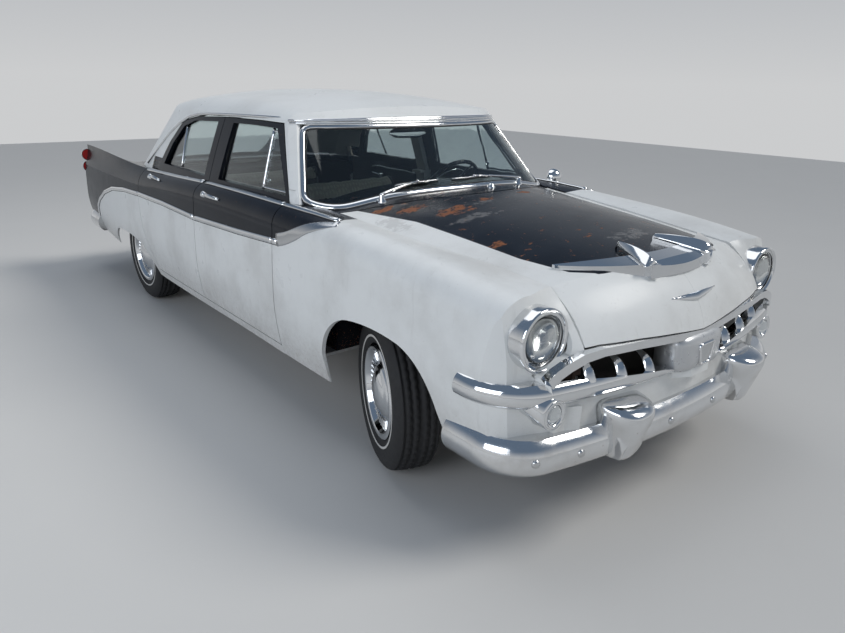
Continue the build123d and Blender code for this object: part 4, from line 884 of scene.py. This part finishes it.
for side, side_name in SIDES:
    for end, y, way, z_low, z_high, body, material, slot in CORNERS:
        gaps = (CORNER_LAP, CORNER_GAP) if body == "body" else (CORNER_GAP, CORNER_LAP)
        door_tree = tree_of([f"{end}_{side_name}_door"])
        rings = []
        for t in shares(10):
            found = corner_row(door_tree, y, way, between(z_low, z_high, t), side)
            if found is None or abs(found[1].y - found[0].y) < 0.009:
                continue
            post, door = found
            near, far = post.y + way * gaps[0], door.y - way * gaps[1]
            thick = side * CORNER_THICK
            rings.append([
                (post.x, near, post.z), (door.x, far, post.z),
                (door.x - thick, far, post.z), (post.x - thick, near, post.z),
            ])
        name = f"{end}_{side_name}_window_corner"
        ringed(name, rings, material, body.format(side_name), False)

# Wipers: pivot's x and y, where the arm meets the blade, and the blade's ends
WIPERS = [
    ("right", (-0.494, -1.248), -0.262, (-0.385, -0.135)),
    ("left", (0.440, -1.228), 0.110, (0.245, -0.047)),
]
WIPER_PIVOT = [
    (-0.004, 0.021), (0.006, 0.020), (0.012, 0.013), (0.036, 0.011), (0.042, 0.007), (0.043, 0.0),
]
WIPER_JOINT = [(-0.010, 0.007), (0.003, 0.008), (0.006, 0.005), (0.007, 0.0)]
WASHER_CAP = [(-0.003, 0.022), (0.006, 0.021), (0.010, 0.014), (0.020, 0.012), (0.023, 0.0)]
BLADE_UP, BLADE_LIFT, RUBBER_DROP, JOINT_LIFT = 0.034, 0.014, 0.008, 0.009
for wiper, pivot, arm_x, blade_ends in WIPERS:
    place, normal = top_at(*pivot)
    turned(f"wiper_{wiper}_pivot", WIPER_PIVOT, place, normal, 28)
    start = place + normal * 0.035
    blade = []
    for t in shares(14):
        x = between(*blade_ends, t)
        spot, out = screen_point(-1, x, screen_foot(-1, x, True)[0].z + BLADE_UP)
        blade.append((spot + out * BLADE_LIFT, out))
    rail(f"wiper_{wiper}_blade", blade, half_round(0.008, 0.006, 0.005, 6), "steel")
    squeegee = [(p - n * RUBBER_DROP, n) for p, n in blade]
    rail(f"wiper_{wiper}_rubber", squeegee, half_round(0.004, 0.004, 0.005, 4), "rubber")
    spot, out = min(blade, key=lambda row: abs(row[0].x - arm_x))
    tip = spot + out * JOINT_LIFT
    crest = start.lerp(tip, 0.35) + out * 0.016
    arm = [
        (start.lerp(crest, t).lerp(crest.lerp(tip, t), t), out, 1.25 - 0.55 * t) for t in shares(10)
    ]
    rail(f"wiper_{wiper}_arm", arm, half_round(0.012, 0.006, 0.004, 6))
    turned(f"wiper_{wiper}_joint", WIPER_JOINT, tip, out, 18)
turned("cowl_washer_cap", WASHER_CAP, *top_at(0.155, -1.308), 28)

# Mirrors
MIRROR = Vector((0.905, -1.088, 1.062))
MIRROR_HEAD = [
    (0.018, 0.0), (0.018, 0.045), (0.022, 0.049), (0.018, 0.0515), (0.006, 0.0515), (-0.012, 0.047),
    (-0.026, 0.037), (-0.036, 0.022), (-0.040, 0.008), (-0.0405, 0.0),
]
MIRROR_FOOT = [(-0.003, 0.026), (0.004, 0.025), (0.008, 0.018), (0.010, 0.008), (0.010, 0.0)]
turned("outside_mirror", MIRROR_HEAD, MIRROR, (-0.15, 1, 0))
foot, normal = top_at(0.872, -1.090)
stem = []
for t in shares(8):
    spot = foot.lerp(MIRROR - UP * 0.045, t) + Vector((0.006 * math.sin(math.pi * t), 0, 0))
    stem.append((spot, (0, -1, 0.2), 1.35 - 0.5 * t))
rail("outside_mirror_stem", stem, oval(0.0075))
turned("outside_mirror_foot", MIRROR_FOOT, foot, normal, 32)
INSIDE_HALF, INSIDE_Z = 0.125, 1.333
pod = []
for t in shares(14):
    x = between(-INSIDE_HALF, INSIDE_HALF, t)
    pod.append(((x, -0.800, INSIDE_Z), (0, -1, 0.15), max(0.25, 1 - abs(x / INSIDE_HALF) ** 6)))
rail("inside_mirror", pod, oval(0.012, 16, 2.4, 0.8))
stalk = [((0.035, -0.795 - 0.075 * t, 1.340 + 0.075 * t), (0, -0.7, -0.7)) for t in shares(6)]
rail("inside_mirror_stalk", stalk, oval(0.006, 10))

# Nose: a plain bright bar on the bonnet's front and a blank plate in the grille's centre
BAR_HALF, BAR_Z, BAR_SAG = 0.150, 0.868, 0.012
bar = []
for t in shares(16):
    x = between(-BAR_HALF, BAR_HALF, t)
    found = end_at(-1, x, BAR_Z - BAR_SAG * (1 - abs(x) / BAR_HALF), FRONT)
    if found:
        bar.append((*found, max(0.12, 1 - abs(x / BAR_HALF) ** 1.6)))
rail("bonnet_front_bar", bar, half_round(0.034, 0.010), body="bonnet")

CREST = [(-0.052, 0.690), (0.052, 0.690), (0.032, 0.610), (-0.032, 0.610)]
CREST_Y, CREST_LIFT, PLATE_RINGS = -2.650, 0.013, 4
rows = sampled([(x, 0, z) for x, z in CREST + CREST[:1]], 0.012)[:-1]
crest = [f[0] for f in (end_at(-1, p.x, p.z, FRONT) for p in rows) if f]
crest = [(Vector((p.x, min(p.y, CREST_Y) - CREST_LIFT, p.z)), FORWARD) for p in crest]
rail("grille_centre_frame", rounded(crest, True, 1), half_round(0.012, 0.007), closed=True)
middle = end_at(-1, 0, 0.655, FRONT)[0]
count = len(crest)
points = []
for ring in range(PLATE_RINGS):
    for place, normal in crest:
        points.append(place.lerp(middle + FORWARD * 0.017, ring / PLATE_RINGS) + normal * 0.0015)
points.append(middle + FORWARD * 0.019)
base = (PLATE_RINGS - 1) * count
faces = strips(PLATE_RINGS, count)
faces += [(base + k, base + (k + 1) % count, base + count) for k in range(count)]
done(new_mesh("grille_centre_plate", points, faces, "steel"), "body")


def blunt(angle, power_x, power_y):
    """A point of a unit oval with its corners filled out."""
    cos, sin = math.cos(angle), math.sin(angle)
    return math.copysign(abs(cos) ** power_x, cos), math.copysign(abs(sin) ** power_y, sin)


# Silver bulge in the grille's centre, behind the plate: y and scale
BULGE_HALF, BULGE_HIGH, BULGE_POWER = 0.156, 0.080, 0.42
BULGE = [
    (-2.540, 1.00), (-2.590, 1.00), (-2.618, 0.975), (-2.636, 0.92), (-2.648, 0.82), (-2.656, 0.66),
    (-2.661, 0.46), (-2.664, 0.24), (-2.665, 0.08),
]
oval_rows = [blunt(math.tau * k / 48, BULGE_POWER, BULGE_POWER) for k in range(48)]
rings = [
    [(BULGE_HALF * scale * a, y, middle.z + BULGE_HIGH * scale * b) for a, b in oval_rows]
    for y, scale in BULGE
]
ringed("grille_centre_bulge", rings, "silver")

# White skin between the lip over the grille and the wing behind it, as x and z
LIP_BACK = [
    (0.738, 0.640), (0.746, 0.660), (0.748, 0.677), (0.721, 0.707), (0.681, 0.729), (0.618, 0.750),
]
for side, side_name in SIDES:
    line = sampled([(side * x, 0, z) for x, z in LIP_BACK], 0.012)
    out = Vector((side * 0.55, 0, 0.83)) * 0.006
    rings = []
    for place, _ in rounded([(p, BACKWARD) for p in line], False):
        back = -2.425 if abs(place.x) > 0.70 else -2.490
        front = -2.540 - 0.20 * (0.75 - abs(place.x))
        low, high = place - out, place + out
        rings.append([
            (low.x, front, low.z), (high.x, front, high.z),
            (high.x, back, high.z), (low.x, back, low.z),
        ])
    ringed(f"nose_{side_name}_return", rings, "white", smooth=False)

# Fins on the bonnet's ornament
FIN_BACK, FIN_FRONT = Vector((0.122, -2.294, 0.0)), Vector((0.200, -2.534, 0.0))
FIN_NOSE, FIN_SINK, FIN_WAIST = 0.80, 0.008, 0.72


def ornament_front(x):
    """How far forward the ornament's plate reaches."""
    for step in range(300):
        y = -2.62 + 0.001 * step
        if top_at(x, y, ORNAMENT):
            return y
    return FIN_FRONT.y


def ornament_top(x, y):
    return max(f[0].z for f in (top_at(x, y, ORNAMENT), top_at(x, y)) if f)


for side, side_name in SIDES:
    front = Vector((FIN_FRONT.x, ornament_front(side * FIN_FRONT.x) + 0.006, 0.0))
    rings = []
    for t in shares(20):
        past = (t - FIN_NOSE) / (1.01 - FIN_NOSE)
        nose = math.sqrt(max(0.0, 1 - past ** 2)) if past > 0 else 1.0
        place = FIN_BACK.lerp(front, t)
        half = (0.006 + 0.044 * t) * (0.70 + 0.30 * nose)
        base = ornament_top(side * place.x, place.y) - FIN_SINK
        rise = 0.004 + 0.026 * math.sin(math.pi * (0.05 + 0.62 * t))
        rise = rise * (0.25 + 0.75 * nose) + FIN_SINK
        ring = []
        for u in shares(14):
            cos, sin = math.cos(math.pi * u), math.sin(math.pi * u)
            x = place.x + half * cos * (1 - FIN_WAIST * sin)
            ring.append((side * x, place.y, base + rise * sin ** 0.8))
        rings.append(ring)
    ringed(f"bonnet_fin_{side_name}", rings, body="bonnet")

# Rounded faces of the front bumper's guards: height, half width and how far forward
GUARD_X, GUARD_BACK, GUARD_DROOP = 0.404, -2.560, 0.16
GUARD_ROWS = [
    (0.3225, 0.020, -2.600), (0.3235, 0.044, -2.632), (0.330, 0.056, -2.646),
    (0.346, 0.064, -2.656), (0.380, 0.071, -2.668), (0.430, 0.084, -2.684),
    (0.480, 0.098, -2.697), (0.512, 0.107, -2.703), (0.534, 0.110, -2.702),
    (0.547, 0.106, -2.694), (0.5545, 0.092, -2.676), (0.5585, 0.066, -2.650),
    (0.5595, 0.028, -2.610),
]
for side, side_name in SIDES:
    rings = []
    for z, half, reach in GUARD_ROWS:
        droop = GUARD_DROOP * max(0.0, (z - 0.44) / 0.12)
        ring = []
        for u in shares(24):
            across, ahead = blunt(math.pi * u, 0.75, 0.85)
            ahead *= GUARD_BACK - reach
            ring.append((side * (GUARD_X + half * across), GUARD_BACK - ahead, z - droop * ahead))
        rings.append(ring)
    ringed(f"front_guard_{side_name}_face", rings, "old_chrome")

# Bumper bolts, at three places to a side
BOLT = [(-0.003, 0.015), (0.002, 0.015), (0.006, 0.011), (0.008, 0.006), (0.0085, 0.0)]
BOLT_X = (0.150, 0.620, 0.800)
for side, side_name in SIDES:
    for k, x in enumerate(BOLT_X):
        for bumper, end, tree, z in (("front", -1, FRONT, 0.402), ("rear", 1, REAR, 0.442)):
            found = end_at(end, side * x, z, tree)
            if found:
                turned(f"{bumper}_bumper_bolt_{side_name}_{k}", BOLT, *found, 20, "steel")

# Tail: lamp rings and lenses, boot handle and lock
TAIL_LAMPS, TAIL_Y = ((0.850, 0.958), (0.852, 0.862)), 2.522
TAIL_RING = [(-0.010, 0.047), (0.004, 0.048), (0.010, 0.045), (0.011, 0.041), (0.004, 0.0385)]
TAIL_LENS = [(0.002, 0.040), (0.010, 0.036), (0.015, 0.024), (0.0165, 0.010), (0.0165, 0.0)]
BOOT_LOCK = [(-0.003, 0.017), (0.005, 0.016), (0.008, 0.010), (0.0085, 0.0)]
for side, side_name in SIDES:
    for k, (x, z) in enumerate(TAIL_LAMPS):
        name, centre = f"tail_lamp_{side_name}_{k}", (side * x, TAIL_Y, z)
        turned(f"{name}_ring", TAIL_RING, centre, BACKWARD, 40)
        turned(f"{name}_lens", TAIL_LENS, centre, BACKWARD, 32, "red", slot="red_lens")
grip = []
for t in shares(12):
    place, normal = end_at(1, between(-0.11, 0.11, t), 0.760, REAR)
    grip.append((place + normal * (0.004 + 0.018 * math.sin(math.pi * t) ** 0.5), normal))
rail("boot_handle", grip, oval(0.011, 12, 1.1, 0.6), body="boot_lid")
turned("boot_lock", BOOT_LOCK, *end_at(1, 0, 0.712, REAR), 28, body="boot_lid")


# Inside: dashboard, steering wheel, door trim
def on_dash(x, z, lift=0.0):
    """A place on the dashboard's face, which looks to the rear."""
    y = -0.990 + 0.15 * (z - 0.880) if z < 0.980 else -0.975 - 0.375 * (z - 0.980)
    return Vector((x, y + lift, z))


def dash_rail(name, places, section, material="steel", closed=False):
    """A rail through places on the dashboard's face. Rows: x, z and lift."""
    path = [(on_dash(*row), BACKWARD) for row in places]
    rail(name, path, section, material, closed=closed)


HOOD_EDGE = [(-0.030, -0.002), (0.030, -0.002), (0.030, 0.005), (0.024, 0.008), (-0.030, 0.006)]
DIALS = ((0.380, 0.995, 0.052), (0.272, 0.985, 0.033), (0.488, 0.985, 0.033))
KNOBS = (
    (-0.095, 0.945, 0.014), (0.095, 0.945, 0.014), (0.190, 0.925, 0.011), (0.240, 0.925, 0.011),
    (0.560, 0.940, 0.012), (-0.450, 0.955, 0.010),
)
GLOVEBOX = [(-0.600, 0.925), (-0.600, 1.000), (-0.300, 1.000), (-0.300, 0.925)]
hood = []
for t in shares(18):
    cos, sin = math.cos(math.pi * t), math.sin(math.pi * t)
    hood.append(((0.380 - 0.185 * cos, -0.975, 0.978 + 0.088 * sin), (-cos, 0, sin)))
rail("dash_hood", hood, HOOD_EDGE, "dash")
for k, (x, z, r) in enumerate(DIALS):
    centre = on_dash(x, z, 0.004)
    ring = [(-0.012, r), (0.006, r), (0.010, r - 0.003), (0.006, r - 0.006)]
    face = [(0.002, r - 0.003), (0.004, r * 0.6), (0.0045, 0.004), (0.0075, 0.003), (0.0078, 0.0)]
    turned(f"dial_{k}_ring", ring, centre, BACKWARD, 36)
    turned(f"dial_{k}_face", face, centre, BACKWARD, 36, "ivory", slot="cabin_trim")
strip = [(between(-0.66, 0.66, t), 0.902, 0.001) for t in shares(22)]
dash_rail("dash_strip", strip, half_round(0.016, 0.006))
for k in range(6):
    bar = [(between(-0.085, 0.085, t), 0.990 + 0.008 * k, 0.002) for t in shares(6)]
    dash_rail(f"dash_grille_bar_{k}", bar, half_round(0.004, 0.004))
for k, (x, z, r) in enumerate(KNOBS):
    knob = [
        (-0.004, r * 0.6), (0.010, r * 0.6), (0.012, r), (0.022, r), (0.025, r * 0.7), (0.025, 0.0),
    ]
    turned(f"dash_knob_{k}", knob, on_dash(x, z), BACKWARD, 24, "ivory", slot="cabin_trim")
for k in range(5):
    key = [(-0.052 + 0.026 * k + 0.008 * i, 0.945, 0.004) for i in (-1, 0, 1)]
    dash_rail(f"dash_key_{k}", key, half_round(0.014, 0.006), "ivory")
lid = sampled([(x, 0, z) for x, z in GLOVEBOX + GLOVEBOX[:1]], 0.03)[:-1]
lid = [(p.x, p.z, 0.0005) for p in lid]
dash_rail("glovebox_edge", lid, half_round(0.006, 0.003), closed=True)

# Horn cap and ring on the steering wheel
HAND = Vector((0.380, -0.715, 0.993))
HAND_AXIS = Vector((0, math.cos(math.radians(35)), math.sin(math.radians(35))))
HORN_CAP = [(0.014, 0.034), (0.022, 0.033), (0.030, 0.024), (0.034, 0.010), (0.0345, 0.0)]
turned("horn_cap", HORN_CAP, HAND, HAND_AXIS, 36, body="steering_wheel")
side_way = Vector((1, 0, 0))
up_way = HAND_AXIS.cross(side_way)
ring = []
for t in shares(48):
    angle = math.radians(between(200, 340, t))
    out = side_way * math.cos(angle) + up_way * math.sin(angle)
    ring.append((HAND + out * 0.130 + HAND_AXIS * 0.016, HAND_AXIS))
rail("horn_ring", ring, oval(0.0035, 10), body="steering_wheel")

BOSS = [(-0.002, 0.024), (0.008, 0.020), (0.016, 0.012), (0.020, 0.0)]


def card(y, z, side, lift=0.0):
    """A place on a door's inner face."""
    place, normal = hit((0, y, z), (side, 0, 0), INSIDE)
    return place + normal * lift, normal


for side, side_name in SIDES:
    for end, y0, rest in (("front", -0.560, 0.36), ("rear", 0.230, 0.34)):
        body = f"{end}_{side_name}_door"
        arm = []
        for t in shares(10):
            swollen = 0.45 + 0.55 * math.sin(math.pi * min(1, 0.15 + t * 0.85)) ** 0.5
            arm.append((*card(y0 + rest * t, 0.800 + 0.012 * t, side, 0.012), swollen))
        rail(f"{body}_armrest", arm, oval(0.026, 16, 1.25, 1.1), "seat_dark", body)
        crank, latch = ("crank", y0 + 0.10, 0.700, 0.7), ("latch", y0 + rest + 0.02, 0.900, 0.1)
        for what, y, z, turn in (crank, latch):
            place, normal = card(y, z, side)
            turned(f"{body}_{what}_boss", BOSS, place, normal, 24, body=body)
            away = Vector((0, math.cos(turn), math.sin(turn)))
            lever = [
                (place + normal * (0.014 + 0.012 * t) + away * 0.084 * t, normal, 1.2 - 0.36 * t)
                for t in shares(6)
            ]
            rail(f"{body}_{what}", lever, oval(0.008, 10, 1.0, 0.6), body=body)
        trim = [card(y0 - 0.08 + (rest + 0.20) * t, 0.955, side, 0.0005) for t in shares(12)]
        rail(f"{body}_inner_strip", trim, half_round(0.012, 0.004), "steel", body)


# Seats: crowned pads on a plain base
def bake(made):
    """Apply every modifier to the mesh."""
    graph = bpy.context.evaluated_depsgraph_get()
    mesh = bpy.data.meshes.new_from_object(made.evaluated_get(graph))
    old = made.data
    made.modifiers.clear()
    made.data = mesh
    bpy.data.meshes.remove(old)


def padded_form(name, profile, half, material):
    """A closed pad: a side profile drawn across the car, ready to swell."""
    points = [(x, y, z) for x in (-half, half) for y, z in profile]
    count = len(profile)
    faces = [tuple(range(count)), tuple(range(2 * count - 1, count - 1, -1))]
    faces += [(k, k + count, (k + 1) % count + count, (k + 1) % count) for k in range(count)]
    made = new_mesh(name, points, faces, material)
    remesh = made.modifiers.new("remesh", "REMESH")
    remesh.mode = "VOXEL"
    remesh.voxel_size = 0.020
    made.modifiers.new("smooth", "SMOOTH").iterations = 3
    bake(made)
    return made


def swell(pads, cap):
    """Blow the pads up as cloth bags, and keep each point within cap of where it began."""
    scene = bpy.context.scene
    for pad in pads:
        bag = pad.modifiers.new("swell", "CLOTH")
        bag.settings.use_pressure = True
        bag.settings.uniform_pressure_force = 4.0
        bag.settings.effector_weights.gravity = 0.0
        bag.collision_settings.use_collision = False
        bag.point_cache.frame_end = 20
    for step in range(1, 21):
        scene.frame_set(step)
    graph = bpy.context.evaluated_depsgraph_get()
    ends = [[v.co.copy() for v in pad.evaluated_get(graph).data.vertices] for pad in pads]
    for pad, end_rows in zip(pads, ends):
        pad.modifiers.clear()
        for vertex, after in zip(pad.data.vertices, end_rows):
            move = after - vertex.co
            if move.length > cap:
                move *= cap / move.length
            vertex.co = vertex.co + move
    scene.frame_set(1)


# Half width, and a side profile as y and z
PADS = {
    "front_cushion": (0.612, [
        (-0.470, 0.520), (-0.488, 0.640), (-0.440, 0.672), (0.040, 0.655), (0.046, 0.515),
    ]),
    "front_back": (0.612, [
        (0.046, 0.640), (0.125, 0.955), (0.150, 0.968), (0.190, 0.962), (0.196, 0.930),
        (0.132, 0.580), (0.050, 0.580),
    ]),
    "rear_cushion": (0.560, [
        (0.588, 0.560), (0.572, 0.640), (0.612, 0.672), (1.010, 0.655), (1.015, 0.560),
    ]),
    "rear_back": (0.560, [
        (1.035, 0.690), (1.105, 0.925), (1.125, 0.940), (1.145, 0.930), (1.145, 0.600),
        (1.020, 0.600),
    ]),
}
pads = [
    padded_form(name, profile, half, "seat_dark" if name.endswith("back") else "seat")
    for name, (half, profile) in PADS.items()
]
swell(pads, 0.024)
PLEAT, PLEAT_DEEP, PLEAT_WIDE = 0.095, 0.007, 0.010
SEAM_IN, SEAM_WIDE, WELT_WIDE, SEAM_DEEP = 0.060, 0.007, 0.008, 0.006
BACK_WELT, CUSHION_WELT, BAND_IN = 0.72, 0.86, 0.058


def bell(distance, wide):
    return math.exp(-(distance / wide) ** 2)


for pad, (name, (half, _)) in zip(pads, PADS.items()):
    finer = pad.modifiers.new("finer", "SUBSURF")
    finer.levels = finer.render_levels = 1
    bake(pad)
    is_back = name.endswith("back")
    vertices = pad.data.vertices
    heights, lengths = [v.co.z for v in vertices], [v.co.y for v in vertices]
    low_z, tall = min(heights), max(heights) - min(heights)
    high_y, deep = max(lengths), max(lengths) - min(lengths)
    for vertex, normal in zip(vertices, [v.normal.copy() for v in vertices]):
        x, y, z = vertex.co
        weight = min(1.0, max(0.0, (-normal.y if is_back else normal.z) * 1.6))
        edge = half - abs(x)
        run = (z - low_z) / tall if is_back else (high_y - y) / deep
        groove = 0.0
        if 0.10 < run < 0.90 and edge > 0.07:
            groove = bell(abs((x + PLEAT / 2) % PLEAT - PLEAT / 2), PLEAT_WIDE)
        seam = bell(edge - SEAM_IN, SEAM_WIDE)
        welt = (run - BACK_WELT) * tall if is_back else (run - CUSHION_WELT) * deep
        seam = max(seam, bell(welt, WELT_WIDE))
        vertex.co -= normal * weight * (PLEAT_DEEP * groove + SEAM_DEEP * seam)
    pad.data.materials.append(M["seat_band"])
    for face in pad.data.polygons:
        face.use_smooth = True
        over = (face.center.z - low_z) / tall > BACK_WELT
        if is_back and over and half - abs(face.center.x) > BAND_IN:
            face.material_index = 1
    done(pad, "body")
    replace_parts(pad, "front_seat" if name.startswith("front") else "rear_seat")

BASES = {
    "front_seat": (0.560, [
        (-0.420, 0.347), (-0.450, 0.500), (0.030, 0.520), (0.062, 0.600), (0.140, 0.900),
        (0.196, 0.930), (0.206, 0.900), (0.150, 0.585), (0.148, 0.347),
    ]),
    "rear_seat": (0.555, [
        (0.602, 0.347), (0.600, 0.548), (1.000, 0.560), (1.040, 0.600), (1.160, 0.600),
        (1.164, 0.532), (1.020, 0.530), (1.020, 0.560), (0.765, 0.545), (0.765, 0.347),
    ]),
}
for seat, (half, profile) in BASES.items():
    rows = (-half, -half * 0.4, half * 0.4, half)
    points = [(x, y, z) for x in rows for y, z in profile]
    faces = caps(len(rows), len(profile)) + strips(len(rows), len(profile))
    made = new_mesh(f"{seat}_base", points, faces, "seat_dark", False)
    bevel = made.modifiers.new("bevel", "BEVEL")
    bevel.width = 0.006
    bevel.segments = 2
    bake(made)
    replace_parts(done(made, "body"), seat)

# Stage, lights, camera
bpy.ops.mesh.primitive_plane_add(size=30.0, location=(0, 0, 0))
floor = bpy.context.object
floor.name = "floor"
g = Graph("pale_floor")
mottle = g.times(g.noise(1.5, 5, 0.5), 0.15)
floor.data.materials.append(g.set(
    Base_Color=g.mix(mottle, (0.62, 0.61, 0.59), (0.5, 0.49, 0.48)), Roughness=0.85,
))

world = bpy.data.worlds.new("studio")
bpy.context.scene.world = world
world.use_nodes = True
tree = world.node_tree
back = tree.nodes["Background"]
coord = tree.nodes.new("ShaderNodeTexCoord")
split = tree.nodes.new("ShaderNodeSeparateXYZ")
ramp = tree.nodes.new("ShaderNodeValToRGB")
tree.links.new(coord.outputs["Generated"], split.inputs[0])
tree.links.new(split.outputs[2], ramp.inputs[0])
SKY = ((0.0, (0.80, 0.81, 0.82, 1)), (0.5, (0.16, 0.22, 0.31, 1)))
for stop, (position, colour) in zip(ramp.color_ramp.elements, SKY):
    stop.position, stop.color = position, colour
tree.links.new(ramp.outputs[0], back.inputs[0])
back.inputs[1].default_value = 0.75


def add_light(name, kind, power, aim, place=(0, 0, 0), colour=(1, 1, 1)):
    """A lamp that shines along aim."""
    data = bpy.data.lights.new(name, kind)
    data.energy = power
    data.color = colour
    light = bpy.data.objects.new(name, data)
    bpy.context.scene.collection.objects.link(light)
    light.location = place
    light.rotation_euler = aim.to_track_quat("-Z", "Y").to_euler()
    return data


def area_light(name, place, target, size, power, colour=(1, 1, 1)):
    data = add_light(name, "AREA", power, Vector(target) - Vector(place), place, colour)
    data.shape = "RECTANGLE"
    data.size, data.size_y = size


sun = add_light("sun", "SUN", 1.5, Vector((-0.55, 0.42, -0.72)), colour=(1.0, 0.97, 0.92))
sun.angle = math.radians(24)
area_light("fill", (-7.0, -3.0, 3.5), (0, -0.3, 0.6), (5.0, 3.0), 160, (0.88, 0.93, 1.0))
area_light("top", (0, 1.5, 6.5), (0, 0, 1.0), (5.0, 6.0), 110)

# The camera as it was fitted to the photograph: place, angles, focal length in pixels
CAMERA_PLACE = (-2.3646, -3.8510, 1.6125)
YAW, PITCH, ROLL = 0.685069, 0.334550, 0.019052
FOCAL_PX, WIDTH_PX, SENSOR_MM = 683.58, 845.0, 36.0
along = Vector((math.sin(YAW) * math.cos(PITCH), math.cos(YAW) * math.cos(PITCH), -math.sin(PITCH)))
level_right = along.cross(UP).normalized()
level_up = level_right.cross(along)
right = level_right * math.cos(ROLL) + level_up * math.sin(ROLL)
up = level_up * math.cos(ROLL) - level_right * math.sin(ROLL)
camera_data = bpy.data.cameras.new("camera")
camera_data.sensor_width = SENSOR_MM
camera_data.lens = SENSOR_MM * FOCAL_PX / WIDTH_PX
camera = bpy.data.objects.new("camera", camera_data)
bpy.context.scene.collection.objects.link(camera)
turn = Matrix((right, up, -along)).transposed().to_4x4()
camera.matrix_world = Matrix.Translation(Vector(CAMERA_PLACE)) @ turn
bpy.context.scene.camera = camera
bpy.context.scene.view_settings.view_transform = "Standard"
